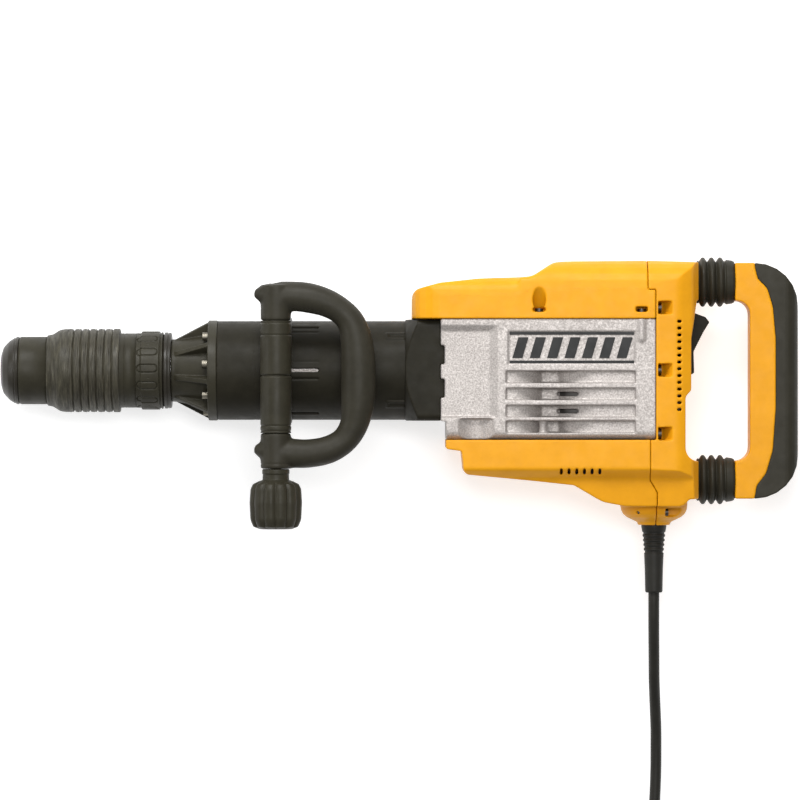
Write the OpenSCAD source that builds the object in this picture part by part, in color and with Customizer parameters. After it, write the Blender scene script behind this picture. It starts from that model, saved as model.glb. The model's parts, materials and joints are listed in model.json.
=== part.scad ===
// Demolition hammer with a spring-mounted D handle, a swinging loop handle and a quick-lock chisel socket.
// The hammer axis runs along X, nose towards -X. Y runs across the case in the plane of both handles' cases,
// and Z is the depth. The tool lies on its flat side, so Z = 0 is the surface under it.

/* [Barrel] */
// Outside diameter of the black barrel sleeve
barrel_d = 94.4; // [94:0.1:94.8]
// Bore of the hammer cylinder
cylinder_bore = 48; // [47.6:0.1:48]
// Bore of the chisel socket, for an 18 mm shank
socket_bore = 18.1; // [18.05:0.05:18.2]

/* [Chuck] */
// Outside diameter of the ribbed locking sleeve
lock_sleeve_d = 79.8; // [78.6:0.2:80.4]
// Outside diameter of the indexing collar
index_collar_d = 74.4; // [73:0.2:75]

/* [Case] */
// Half of the depth of the plastic hoods
half_depth = 60; // [59.5:0.1:60.5]
// Wall of the plastic hoods
wall = 3.2; // [2.8:0.1:3.4]
// Wall of the metal case
case_wall = 6; // [5.5:0.1:6.5]
// Half of the depth of the metal case
case_half = 58; // [57.5:0.1:58.5]

/* [Handles] */
// Diameter of the loop handle's grip
loop_grip_d = 34; // [32:0.5:34.5]
// Half of the depth of the rear handle's bow
bow_half_depth = 18; // [17:0.5:18.5]
// Number of flutes round the clamp knob
knob_flutes = 12; // [8:1:14]

/* [Drive] */
// Teeth of the motor pinion, module 1
pinion_teeth = 12; // [12:1:12]
// Teeth of the intermediate gear, module 1
middle_teeth = 56; // [56:1:56]
// Teeth of the layshaft pinion, module 1.5
lay_teeth = 14; // [14:1:14]
// Teeth of the crank gear, module 1.5
crank_teeth = 50; // [50:1:50]
// Throw of the crank, half of the piston's stroke
crank_throw = 14; // [12:0.5:14]

/* [Cord] */
// Diameter of the mains cord
cord_d = 10.5; // [10:0.1:10.6]

/* [Hidden] */
$fn = 96;

// ---- helpers ----
function unit(v) = v / norm(v);
function at(p, i) = let (q = p[(i + len(p)) % len(p)]) [q[0], q[1]];

// Points of one rounded corner at q, between p and s
function corner(p, q, s, r, n = 6) = r <= 0 ? [q] :
    let (u = unit(p - q), w = unit(s - q), half = acos(max(-1, min(1, u * w))) / 2,
         t = q + u * r / tan(half), e = q + w * r / tan(half), c = q + unit(u + w) * r / sin(half),
         a = atan2(t[1] - c[1], t[0] - c[0]), b = atan2(e[1] - c[1], e[0] - c[0]),
         sweep = (b - a + 540) % 360 - 180)
    [for (i = [0 : n]) c + r * [cos(a + sweep * i / n), sin(a + sweep * i / n)]];

// Outline from [x, y, radius] corners
function outline(p, n = 6) =
    [for (i = [0 : len(p) - 1]) each corner(at(p, i - 1), at(p, i), at(p, i + 1), p[i][2], n)];

// The same corners moved inwards by d, for a list that runs anticlockwise
function inset(p, d) = [for (i = [0 : len(p) - 1])
    let (a = unit(at(p, i) - at(p, i - 1)), b = unit(at(p, i + 1) - at(p, i)),
         na = [-a[1], a[0]], nb = [-b[1], b[0]], q = at(p, i) + d * (na + nb) / (1 + na * nb),
         convex = a[0] * b[1] - a[1] * b[0] > 0, r = p[i][2])
    [q[0], q[1], r <= 0 ? 0 : convex ? max(r - d, 0.6) : r + d]];

// Rounded rectangle corners, [x0, y0] to [x1, y1]
function rect(lo, hi, r) = [[lo[0], lo[1], r], [hi[0], lo[1], r], [hi[0], hi[1], r], [lo[0], hi[1], r]];

module block(lo, hi) { translate(lo) cube(hi - lo); }
module slab(p, z0, z1) { translate([0, 0, z0]) linear_extrude(z1 - z0) polygon(p); }
module across(p, x0, x1) { translate([x0, 0, 0]) rotate([90, 0, 90]) linear_extrude(x1 - x0) polygon(p); }
module plan(p, y0, y1) { translate([0, y0, 0]) rotate([-90, 0, 0]) linear_extrude(y1 - y0) polygon(p); }
module xcyl(x0, x1, r) { translate([x0, 0, 0]) rotate([0, 90, 0]) cylinder(h = x1 - x0, r = r); }
module ycyl(y0, y1, r) { translate([0, y0, 0]) rotate([-90, 0, 0]) cylinder(h = y1 - y0, r = r); }
module zcyl(z0, z1, r) { translate([0, 0, z0]) cylinder(h = z1 - z0, r = r); }
// Solid of revolution about the hammer axis, from [x, radius] points
module spun(p) { rotate([0, 90, 0]) rotate_extrude() polygon([for (q = p) [q[1], q[0]]]); }
module xtube(x0, x1, ro, ri) { spun([[x0, ri], [x1, ri], [x1, ro], [x0, ro]]); }
module ytube(y0, y1, ro, ri) {
    rotate([-90, 0, 0]) rotate_extrude() polygon([[ri, y0], [ro, y0], [ro, y1], [ri, y1]]);
}
module both_sides() { children(); mirror([0, 0, 1]) children(); }
module round_x(count, first = 0) { for (i = [0 : count - 1]) rotate([first + i * 360 / count, 0, 0]) children(); }

// Involute spur gear about Z, with one tooth centred at angle phase
function inv(a) = tan(a) - a * PI / 180;
function half_tooth(rho, m, z, slack) = let (rp = m * z / 2, rb = rp * cos(20))
    90 / z * (1 - slack) + (inv(20) - (rho > rb ? inv(acos(rb / rho)) : 0)) * 180 / PI;
module gear(m, z, h, head, phase = 0, slack = 0.1) {
    rp = m * z / 2;
    radii = [rp - 1.2 * m, rp - 0.6 * m, rp - 0.3 * m, rp, rp + head * m / 2, rp + head * m];
    up = [for (r = radii) [r, half_tooth(r, m, z, slack)]];
    linear_extrude(h) polygon([for (i = [0 : z - 1]) let (c = phase + i * 360 / z)
        each concat([for (p = up) p[0] * [cos(c - p[1]), sin(c - p[1])]],
                    [for (k = [5 : -1 : 0]) up[k][0] * [cos(c + up[k][1]), sin(c + up[k][1])]])]);
}
// The same gear about a Y axis at x, from y0
module ygear(x, y0, m, z, h, head, phase = 0) {
    translate([x, y0, 0]) rotate([-90, 0, 0]) gear(m, z, h, head, phase);
}

// Round tube swept along points, as one polyhedron
function frame_at(p, i, up) = let (n = len(p), t = unit(p[min(i + 1, n - 1)] - p[max(i - 1, 0)]),
    s = unit(cross(t, up))) [s, cross(s, t)];
module swept(p, r, sides = 8, up = [0, 0, 1]) {
    n = len(p);
    points = [for (i = [0 : n - 1]) let (f = frame_at(p, i, up))
        for (k = [0 : sides - 1]) p[i] + r * (cos(k * 360 / sides) * f[0] + sin(k * 360 / sides) * f[1])];
    sides_faces = [for (i = [0 : n - 2]) for (k = [0 : sides - 1]) let (a = i * sides, l = (k + 1) % sides)
        each [[a + k, a + l, a + sides + l], [a + k, a + sides + l, a + sides + k]]];
    polyhedron(points, concat(sides_faces, [[for (k = [sides - 1 : -1 : 0]) k]],
        [[for (k = [0 : sides - 1]) (n - 1) * sides + k]]), convexity = 6);
}
// Helical spring along X from x0 to x1
module spring_x(x0, x1, radius, wire, turns, steps = 12) {
    total = turns * steps;
    swept([for (i = [0 : total]) let (a = i * 360 / steps)
        [x0 + wire + (x1 - x0 - 2 * wire) * i / total, radius * cos(a), radius * sin(a)]], wire, 6, [1, 0, 0]);
}

// ---- places shared by several parts, measured from the hammer axis ----
barrel_r = barrel_d / 2;
liner_ri = cylinder_bore / 2;
liner_ro = 28;
nose_tip = -380.4;
cap_end = -363.2;
sleeve_front = -336.2;
sleeve_back = -266.7;
chuck_front = -285;
collar_front = -251;
collar_back = -225.6;
flange_front = -182.6;
flange_back = -173.9;
case_x0 = 38.5;
case_x1 = 241.6;
case_top = 48.4;
case_bottom = -65.6;
crank_x = 106;
lay_x = crank_x + 1.5 * (lay_teeth + crank_teeth) / 2;
motor_x = lay_x + (pinion_teeth + middle_teeth) / 2;
rod_length = 72;
crank_pin_x = crank_x - crank_throw;
wrist_x = crank_pin_x - rod_length;
ball_x = -316;
cam_slope = 0.27;
socket_r = socket_bore / 2;
clamp_x = -117;
clamp_z = 66;
arm_y = [84.4, -104.2];
arm_half = 18;
arm_front = 283.2;
bow_front = 319;
bow_back = 379.6;
cord_x = 242.4;
guard_end = -212;
knob_bottom = -149.9;
bellows_r = 23.7;
rocker_pivot = [268.5, 24];

// Side outlines, anticlockwise
hood_side = [[11.1, 48.7, 0], [241.4, 48.7, 0], [241.4, 75.9, 0], [234, 75.9, 0], [234, 104, 0], [146, 103, 18],
    [124.5, 88.6, 16], [75, 86.8, 40], [38, 82.8, 20], [11.1, 75.5, 10]];
bottom_side = [[43.4, -65.9, 0], [43.4, -74.5, 2], [58.3, -76.5, 2], [60.5, -98.5, 6], [128, -105, 0],
    [165, -109, 10], [192, -124.8, 20], [214, -129, 0], [243.4, -129, 0], [243.4, -116, 3], [236.3, -104, 3],
    [236.3, -65.9, 0]];
rear_side = [[241.9, 76.3, 0], [241.9, -65.9, 0], [236.7, -65.9, 0], [236.7, -103.8, 3], [243.8, -115.8, 3],
    [243.8, -129, 0], [268, -129, 8], [274, -122.2, 4], [arm_front, -122.2, 0], [arm_front, -86.2, 0],
    [269.8, -86.2, 13], [269.8, -25, 6], [275.4, -19, 4], [275.4, 30, 20], [281.4, 66.4, 2], [arm_front, 66.4, 0],
    [arm_front, 102.4, 0], [234.4, 104, 0], [234.4, 76.3, 0]];
bow_side = [[bow_front, -122.2, 0], [bow_back, -122.2, 42], [bow_back, 102.4, 42], [bow_front, 102.4, 0],
    [bow_front, 66.4, 0], [333.1, 66.4, 13], [333.1, -86.2, 13], [bow_front, -86.2, 0]];
grip_zone = [[337.4, -130, 0], [400, -130, 0], [400, 120, 0], [337.4, 120, 0], [338, 97, 4], [340.6, 87, 8],
    [349.6, 78, 12], [355, 60, 30], [357.6, 30, 60], [357.6, -36, 60], [354.8, -76, 30], [348.4, -98, 14],
    [339.4, -110, 8], [337.6, -121, 4]];

// Depth outlines
function hood_section(top, r) = [[40, -half_depth, 0], [top, -half_depth, r], [top, half_depth, r], [40, half_depth, 0]];
hood_plan = [[11.1, -half_depth, 26], [243, -half_depth, 0], [243, half_depth, 0], [11.1, half_depth, 26]];
bottom_section = [[-150, -42, 0], [-102.5, -49, 5], [-94, -half_depth, 5], [-60, -half_depth, 0],
    [-60, half_depth, 0], [-94, half_depth, 5], [-102.5, 49, 5], [-150, 42, 0]];
rear_section = [[-150, -42, 0], [-102.5, -49, 5], [-94, -half_depth, 5], [104, -half_depth, 26],
    [104, half_depth, 26], [-94, half_depth, 5], [-102.5, 49, 5], [-150, 42, 0]];
rear_plan = [[230, -half_depth, 0], [264, -58.6, 20], [277, -51, 10], [arm_front, -34, 0],
    [arm_front, 34, 0], [277, 51, 10], [264, 58.6, 20], [230, half_depth, 0]];
bow_plan = [[310, -bow_half_depth, 0], [bow_back, -bow_half_depth, 13], [bow_back, bow_half_depth, 13],
    [310, bow_half_depth, 0]];

// ---- case ----
rear_screw_y = [59, 0, -60];
rear_screw_x = 243.7;
rear_screw_z = 50;
hood_screw_x = [131.5, 228.2];
hood_screw_y = [55.2, 54.9];
hood_screw_z = 52;
slot_y = [-12.1, -28.2, -44.4, -59.3];
tab_y = [14.4, -17.2];
slot_height = 11.5;

// Four-sided pocket that widens from corners a and b at z0 to corners c and d at z1
module sloped_pocket(a, b, z0, c, d, z1) polyhedron(
    [[a[0], a[1], z0], [b[0], a[1], z0], [b[0], b[1], z0], [a[0], b[1], z0],
        [c[0], c[1], z1], [d[0], c[1], z1], [d[0], d[1], z1], [c[0], d[1], z1]],
    [[0, 1, 2, 3], [4, 7, 6, 5], [0, 4, 5, 1], [1, 5, 6, 2], [2, 6, 7, 3], [3, 7, 4, 0]]);

module crankcase_body() {
    difference() {
        intersection() {
            block([case_x0, case_bottom, -case_half], [case_x1, case_top, case_half]);
            union() {
                block([case_x0, -48.4, -70], [60, 60, 70]);
                block([43.4, -70, -70], [250, 60, 70]);
            }
            across(outline(rect([case_bottom, -case_half], [case_top + 10, case_half], 8)), case_x0, case_x1);
        }
        both_sides() {
            sloped_pocket([30, -43], [85, 37], case_half - 3.5, [30, -46], [94, 44], case_half + 1);
            translate([72, 0, case_half + 17]) ycyl(case_bottom - 1, -45.5, 24);
        }
    }
    both_sides() translate([hood_screw_x[1], 0, half_depth - 5.6]) {
        ycyl(30, case_top, 5.5);
        translate([0, 30, 0]) sphere(r = 5.5);
    }
}

// Windows between the fins, with the round walls of the crank chamber and the motor behind them
module fin_slots() {
    for (i = [0 : 3]) difference() {
        block([100, slot_y[i], 38], [222.5, slot_y[i] + slot_height, half_depth + 1]);
        translate([104, 0, 18]) ycyl(-70, 5, 36);
        translate([motor_x, 0, 2]) ycyl(-70, 5, 52);
        block([motor_x, -70, 0], [230, 5, 54]);
        if (i == 3) translate([135.5, 0, 48]) ycyl(-70, 5, 4);
    }
}

// Slot with round ends, through to the motor bore
module vent_opening(x0, x1) {
    for (x = [x0, x1]) translate([x, 0, 0]) zcyl(30, half_depth, 2);
    block([x0, -2, 30], [x1, 2, half_depth]);
}

module crankcase() color([0.75, 0.74, 0.72]) difference() {
    crankcase_body();
    both_sides() fin_slots();
    both_sides() block([101.7, 5.5, case_half - 1.6], [222.5, 36.8, case_half + 1]);
    both_sides() for (y = [slot_y[1], slot_y[2]]) translate([0, y + 5.7, 0]) vent_opening(151, 167);
    translate([motor_x, 0, 0]) {
        ycyl(case_bottom - 1, 37, 46.5);
        ycyl(36, 38.4, 12);
        ycyl(38.4, case_top + 1, 16.05);
    }
    translate([lay_x, 0, 0]) ycyl(38.4, case_top + 1, 13.05);
    translate([crank_x, 0, 0]) ycyl(10, case_top + 1, 20.05);
    xcyl(case_x0 - 1, 71, liner_ro + 0.02);
    block([case_x0 + case_wall, -30, -34], [138, 18, 34]);
    block([52, case_bottom - 1, -40], [128, -36, 40]);
    both_sides() for (y = tab_y) block([case_x0 - 1, y - 9, 48.3], [42.3, y + 9, 56]);
    both_sides() for (y = rear_screw_y) translate([0, y, rear_screw_z]) xcyl(226, case_x1 + 1, 2.55);
    both_sides() for (x = hood_screw_x) translate([x, 0, hood_screw_z]) ycyl(34, case_top + 1, 2.05);
}

module gear_cover() color([0.7, 0.7, 0.68]) difference() {
    union() {
        block([60, case_top, -44], [122, 70, 44]);
        block([120, case_top, -40], [206, 83, 40]);
        translate([lay_x, 0, 0]) ycyl(80, 90, 16);
    }
    block([63, case_top - 1, -41], [123, 67, 41]);
    block([119, case_top - 1, -37], [203, 80, 37]);
    block([121, 66, -37], [124, 80, 37]);
    translate([lay_x, 0, 0]) ycyl(79, 87, 13.05);
}

// ---- barrel ----
module barrel_housing() color([0.82, 0.82, 0.8]) difference() {
    spun([[flange_back, 26], [-158, 26], [-158, 36], [-100, 36], [-100, liner_ro + 0.05], [-92, liner_ro + 0.05],
        [-92, 36], [22, 36], [22, liner_ro + 0.05], [case_x0 - 0.1, liner_ro + 0.05], [case_x0 - 0.1, 43],
        [flange_back, 43]]);
    round_x(8, -9) translate([0, 0, 39.5]) xcyl(flange_back - 1, -161, 2.05);
}

module barrel_sleeve() color([0.2, 0.2, 0.18]) difference() {
    union() {
        xtube(flange_back, case_x0 - 0.1, barrel_r - 0.6, 43.05);
        xtube(flange_back, -138.5, barrel_r, 45);
        xtube(-137.2, case_x0 - 0.1, barrel_r, 45);
        for (a = [-137, -43, 43, 137]) rotate([a, 0, 0]) difference() {
            block([-13, -4.2, 45], [4.5, 4.2, barrel_r + 1]);
            block([-11.2, -2.3, 44], [6, 2.3, barrel_r + 2]);
        }
    }
    for (group = [0 : 5]) rotate([group * 60, 0, 0]) {
        block([-104, -1.6, 40], [-77, 1.6, 50]);
        for (i = [-1, 1]) rotate([i * 10, 0, 0]) block([-104, -0.8, barrel_r - 1.6], [-77, 0.8, 50]);
    }
}

module barrel_collar() color([0.2, 0.2, 0.18]) difference() {
    union() {
        intersection() {
            across(outline(rect([-47.9, -50], [48.2, 50], 6)), 0, case_x0 - 0.1);
            spun([[5, 0], [5, 50.2], [18, 69], [40, 76], [40, 0]]);
        }
        both_sides() for (y = tab_y) block([case_x0 - 0.3, y - 8.7, 48.6], [42, y + 8.7, 50]);
    }
    xcyl(-1, case_x0 + 1, barrel_r + 0.02);
}

module front_housing() color([0.2, 0.2, 0.18]) difference() {
    union() {
        spun([[-217.6, 22.05], [-192, 22.05], [-192, 26], [flange_back, 26], [flange_back, 47.8], [flange_front, 47.8],
            [flange_front, 35], [-214, 29.8], [-217.6, 29.8]]);
        intersection() {
            spun([[-214.6, 26], [flange_front, 30], [flange_front, 47], [-214.6, 29.9]]);
            round_x(8, 13.5) block([-216, -2.4, 20], [flange_front, 2.4, 50]);
        }
    }
    round_x(8, -9) translate([0, 0, 39.5]) xcyl(-190, -172, 2.05);
}

module front_screws() color([0.55, 0.55, 0.52]) round_x(8, -9) translate([0, 0, 39.5]) difference() {
    union() {
        xcyl(flange_front - 5, flange_front, 4);
        xcyl(flange_front, -162, 2);
    }
    translate([flange_front - 6, 0, 0]) rotate([0, 90, 0]) cylinder(h = 4, r = 2.2, $fn = 6);
}

module seal_ring() color([0.12, 0.12, 0.12]) xtube(-225, -217.7, 36.2, 22.3);
module cylinder_liner() color([0.8, 0.8, 0.8]) difference() {
    xtube(-151, 70, liner_ro, liner_ri);
    for (a = [0, 90, 180, 270]) rotate([a, 0, 0]) translate([-108, 0, 0]) zcyl(20, 30, 2.5);
}
module bolt_guide() color([0.6, 0.6, 0.62])
    spun([[-191.8, 17.4], [-166, 17.4], [-166, 12.05], [-152, 12.05], [-152, 25.9], [-191.8, 25.9]]);

// ---- hammer mechanism ----
module impact_bolt() color([0.6, 0.6, 0.62])
    spun([[-284, 0], [-284, 10], [-282, 11], [-188, 11], [-188, 17], [-170, 17], [-170, 12], [-106, 12], [-104, 10],
        [-104, 0]]);

module ram() color([0.6, 0.6, 0.62])
    spun([[-78, 0], [-78, 20], [-74, liner_ri - 0.05], [-52, liner_ri - 0.05], [-52, 21.6], [-48, 21.6],
        [-48, liner_ri - 0.05], [-20, liner_ri - 0.05], [-20, 0]]);

module piston() color([0.75, 0.75, 0.76]) difference() {
    spun([[-2, 0], [-2, liner_ri - 0.05], [3, liner_ri - 0.05], [3, 21.6], [7, 21.6], [7, liner_ri - 0.05],
        [36, liner_ri - 0.05], [36, 0]]);
    block([8, -7, -15], [37, 7, 15]);
    translate([wrist_x, 0, 0]) ycyl(-30, 30, 6.01);
}

module wrist_pin() color([0.6, 0.6, 0.62]) translate([wrist_x, 0, 0]) ycyl(-22, 22, 6);

module connecting_rod() color([0.72, 0.72, 0.74]) difference() {
    union() {
        translate([wrist_x, 0, 0]) ycyl(-5.5, 5.5, 11);
        translate([crank_pin_x, 0, 0]) ycyl(-5.5, 5.5, 14);
        block([wrist_x, -4, -6.5], [crank_pin_x, 4, 6.5]);
    }
    translate([wrist_x, 0, 0]) ycyl(-9, 9, 6.05);
    translate([crank_pin_x, 0, 0]) ycyl(-9, 9, 7.02);
}

module crank_pin() color([0.6, 0.6, 0.62]) translate([crank_pin_x, 0, 0]) union() {
    ycyl(-7.5, 7.7, 7);
    ycyl(-8.5, -7.5, 9);
}

module crankshaft() color([0.65, 0.65, 0.67]) translate([crank_x, 0, 0]) union() {
    difference() {
        ycyl(8, 17, 26);
        for (s = [-1, 1]) translate([-crank_throw, 0, s * 28]) ycyl(7, 18, 14);
    }
    ycyl(17, 52, 10);
    ycyl(52, 66, 9);
}

module crank_gear() color([0.6, 0.6, 0.62]) difference() {
    ygear(crank_x, 54, 1.5, crank_teeth, 10, 0.8, 180 / crank_teeth);
    translate([crank_x, 0, 0]) ycyl(50, 70, 9.01);
    for (i = [0 : 5]) translate([crank_x, 0, 0]) rotate([0, i * 60, 0]) translate([22, 0, 0]) ycyl(50, 70, 6);
}

module layshaft() color([0.65, 0.65, 0.67]) union() {
    translate([lay_x, 0, 0]) {
        ycyl(39, 52.5, 6);
        ycyl(52.4, 66.6, 8);
        ycyl(66.5, 86.5, 6);
    }
    ygear(lay_x, 52.5, 1.5, lay_teeth, 13, 0.9);
}

module intermediate_gear() color([0.6, 0.6, 0.62]) difference() {
    ygear(lay_x, 68, 1, middle_teeth, 10, 0.7, 180 / middle_teeth);
    translate([lay_x, 0, 0]) ycyl(60, 80, 6.01);
    for (i = [0 : 5]) translate([lay_x, 0, 0]) rotate([0, i * 60, 0]) translate([16, 0, 0]) ycyl(60, 80, 4.5);
}

// ---- motor ----
module motor_stator() color([0.45, 0.43, 0.42]) translate([motor_x, 0, 0]) difference() {
    union() {
        ycyl(-48, 12, 46.3);
        ycyl(-58, -48, 40);
        ycyl(12, 21, 40);
    }
    ycyl(-60, 24, 27);
    for (a = [0, 180]) rotate([0, a, 0]) block([44, -49, -12], [48, 13, 12]);
}

module armature_shaft() color([0.65, 0.65, 0.67]) union() {
    translate([motor_x, 0, 0]) {
        ycyl(-111, 49.5, 6);
        ycyl(49.4, 66.1, 4.6);
    }
    ygear(motor_x, 66, 1, pinion_teeth, 13.5, 0.9);
}

module armature_core() color([0.5, 0.35, 0.25]) translate([motor_x, 0, 0]) difference() {
    union() {
        ycyl(-47, 11, 26.4);
        ycyl(-60, -47, 22);
        ycyl(11, 20, 22);
    }
    ycyl(-61, 21, 6.01);
    for (i = [0 : 11]) rotate([0, i * 30, 0]) block([24.4, -48, -1.2], [27, 12, 1.2]);
}

module commutator() color([0.72, 0.45, 0.3]) translate([motor_x, 0, 0]) difference() {
    ycyl(-92, -66, 14);
    ycyl(-93, -65, 6.01);
}

module cooling_fan() color([0.15, 0.15, 0.15]) translate([motor_x, 0, 0]) difference() {
    union() {
        ycyl(24, 26.5, 43);
        ycyl(24, 34, 12);
        for (i = [0 : 11]) rotate([0, i * 30, 0]) block([11, 26, -0.9], [41, 33, 0.9]);
    }
    ycyl(20, 36, 6.01);
}

module shaft_bearings() color([0.7, 0.7, 0.72]) {
    translate([crank_x, 0, 0]) {
        ytube(20, 29, 20, 10.03);
        ytube(39, 48, 20, 10.03);
    }
    translate([lay_x, 0, 0]) {
        ytube(39, 48, 13, 6.03);
        ytube(80.5, 86.8, 13, 6.03);
    }
    translate([motor_x, 0, 0]) {
        ytube(39, 48, 16, 6.03);
        ytube(-109, -100, 13, 6.03);
    }
}

module brush_bracket() color([0.12, 0.12, 0.12]) translate([motor_x, 0, 0]) difference() {
    union() {
        ycyl(-110.5, -96, 16);
        ycyl(-99, -96, 34);
        for (s = [-1, 1]) block([-9, -97, s * 25 - 9], [9, -68, s * 25 + 9]);
    }
    ycyl(-109.2, -95, 13.02);
    ycyl(-112, -95, 8);
    for (s = [-1, 1]) block([-5.1, -86, s * 25 - 12], [5.1, -74, s * 25 + 12]);
}

module carbon_brushes() color([0.16, 0.15, 0.15]) translate([motor_x, 0, 0]) for (s = [-1, 1])
    block([-5, -85.9, s * 24 - 9.6], [5, -74.1, s * 24 + 9.6]);

// ---- chuck ----
module holder_tube() color([0.55, 0.55, 0.57]) difference() {
    spun([[-372, socket_r], [-325, socket_r], [-325, 10.6], [-307, 10.6], [-307, socket_r], [-290, socket_r],
        [-290, 11.1], [-195, 11.1], [-195, 22], [-254.8, 22], [-254.8, 17], [-372, 17]]);
    translate([ball_x, 0, 0]) ycyl(-20, 20, 5.6);
}

module nose_bush() color([0.22, 0.21, 0.2])
    spun([[cap_end, 17.1], [-345, 17.1], [-345, 29.6], [-326, 29.6], [-326, 32.3], [cap_end, 32.3]]);

module dust_cap() color([0.1, 0.1, 0.1])
    spun([[nose_tip, 9.6], [-372.2, 9.6], [-372.2, 17.1], [cap_end - 0.1, 17.1], [cap_end - 0.1, 32.3],
        [-366, 31.7], [-371.3, 28.4], [-375.4, 25], [-378, 21.7], [-379.6, 18], [nose_tip, 14]]);

module chuck_body() color([0.22, 0.22, 0.2])
    spun([[chuck_front, 17.1], [-255, 17.1], [-255, 22.1], [collar_front - 0.1, 22.1], [collar_front - 0.1, 35.5],
        [chuck_front, 35.5]]);

module index_collar() color([0.22, 0.22, 0.2]) difference() {
    xtube(collar_front, collar_back, index_collar_d / 2, 22.1);
    round_x(14, -2.6) translate([0, 0, index_collar_d / 2 + 1.2]) {
        xcyl(-246, -233, 2.6);
        for (x = [-246, -233]) translate([x, 0, 0]) sphere(r = 2.6);
    }
}

module lock_sleeve() color([0.2, 0.2, 0.18]) {
    r = lock_sleeve_d / 2;
    pitch = 7.4;
    ridges = [for (i = [0 : 5]) each [[-316 + i * pitch, r - 1.6], [-314.5 + i * pitch, r], [-311 + i * pitch, r],
        [-309.6 + i * pitch, r - 1.6]]];
    spun(concat([[sleeve_front, 32.9], [-322, 32.9], [-322, 36], [sleeve_back, 36], [sleeve_back, r]],
        [for (k = [len(ridges) - 1 : -1 : 0]) if (ridges[k][0] < sleeve_back - 1) ridges[k]],
        [[-320.5, r - 0.6], [-328, 37], [sleeve_front, 34.4]]));
}

module lock_cam() color([0.6, 0.6, 0.62])
    spun([[ball_x - 14, 17.75 + 14 * cam_slope], [ball_x, 17.75], [-301.5, 17.75], [-301.5, 36], [-311, 36],
        [-311, 29], [ball_x - 14, 29]]);

module lock_spring() color([0.6, 0.6, 0.62]) spring_x(-301.4, chuck_front - 0.1, 26, 0.9, 3);
module lock_ball(side) color([0.7, 0.7, 0.72]) translate([ball_x, side * 12, 0]) sphere(r = 5.5);

// ---- loop handle and its clamp ----
module clamp_band() color([0.3, 0.3, 0.3]) translate([clamp_x, 0, 0]) union() {
    difference() {
        xtube(-14, 14, 50, barrel_r + 0.1);
        block([-16, -10, 40], [16, 0, 60]);
    }
    block([-10, -12, 47.6], [10, -10, 56]);
    block([-10, 0, 47.6], [10, 2, 56]);
}

module saddle(y0, y1, bolt_r) difference() {
    union() {
        translate([0, 0, clamp_z]) ycyl(y0, y1, 14.6);
        block([-14.6, max(y0, -38), 30], [14.6, min(y1, 38), clamp_z]);
    }
    xcyl(-30, 30, 50.1);
    block([-11, -13, 40], [11, 3, 57]);
    translate([0, 0, clamp_z]) ycyl(-70, 70, bolt_r);
}

module clamp_saddles() color([0.22, 0.22, 0.2]) translate([clamp_x, 0, 0]) {
    saddle(-4.7, 46.5, 5.1);
    saddle(-59.4, -5.7, 5.1);
}

module clamp_bolt() color([0.6, 0.6, 0.62]) translate([clamp_x, 0, clamp_z]) union() {
    ycyl(-138, 68, 5);
    translate([0, 67.9, 0]) rotate([-90, 0, 0]) cylinder(h = 6, r = 9, $fn = 6);
}

module loop_arc(centre, radius, start, sweep, r) translate([centre[0], centre[1], clamp_z])
    rotate([0, 0, start]) rotate_extrude(angle = sweep) translate([radius, 0]) circle(r = r);

module loop_handle() color([0.22, 0.22, 0.2]) difference() {
    union() {
        translate([clamp_x, 0, clamp_z]) {
            ycyl(46.8, 80.7, 14.2);
            ycyl(-93, -59.7, 14.2);
        }
        translate([0, 69.4, clamp_z]) xcyl(clamp_x, -95.4, 13.7);
        translate([0, -79.2, clamp_z]) xcyl(clamp_x, -83.4, 13.4);
        loop_arc([-95.4, 13.4], 56, 0, 90, 13.7);
        loop_arc([-83.4, -35.2], 44, -90, 90, 13.4);
        translate([-39.4, 0, clamp_z]) ycyl(-37, 16, loop_grip_d / 2);
        for (y = [71, -75]) translate([clamp_x, y, clamp_z]) rotate([0, -90, 0]) cylinder(h = 20.5, r1 = 11, r2 = 5);
    }
    translate([clamp_x, 0, clamp_z]) {
        ycyl(-95, 68, 5.3);
        translate([0, 67.7, 0]) rotate([-90, 0, 0]) cylinder(h = 6.6, r = 9.3, $fn = 6);
    }
}

module clamp_knob() color([0.2, 0.2, 0.19]) translate([clamp_x, 0, clamp_z]) difference() {
    rotate([-90, 0, 0]) rotate_extrude() polygon([[0, knob_bottom], [16, knob_bottom], [22.5, -147], [24.4, -141],
        [25, -125], [24.2, -112], [21.5, -106], [14.5, -104], [12.8, -103], [12.8, -93.3], [0, -93.3]]);
    ycyl(-139, -90, 5.05);
    for (i = [0 : knob_flutes - 1]) rotate([0, i * 360 / knob_flutes, 0]) translate([27.2, 0, 0])
        ycyl(-151, -107, 3.4);
}

// ---- hoods ----
module hood_solid(d) intersection() {
    slab(outline(inset(hood_side, d)), -half_depth + d, half_depth - d);
    union() {
        across(outline(inset(hood_section(88.6, 17), d)), 0, 146);
        across(outline(inset(hood_section(104, 26), d)), 112 + 2 * d, 250);
    }
    plan(outline(inset(hood_plan, d)), 40, 110);
}

module hood_screw_pockets() both_sides() {
    translate([hood_screw_x[0], hood_screw_y[0], hood_screw_z]) {
        rotate([32, 0, 0]) ycyl(0, 40, 6.1);
        block([-6.1, 0, -7], [6.1, 3.8, 10]);
    }
    translate([hood_screw_x[1], hood_screw_y[1], hood_screw_z]) block([-5.6, 0, -7], [5.6, 5.2, 10]);
}

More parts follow.
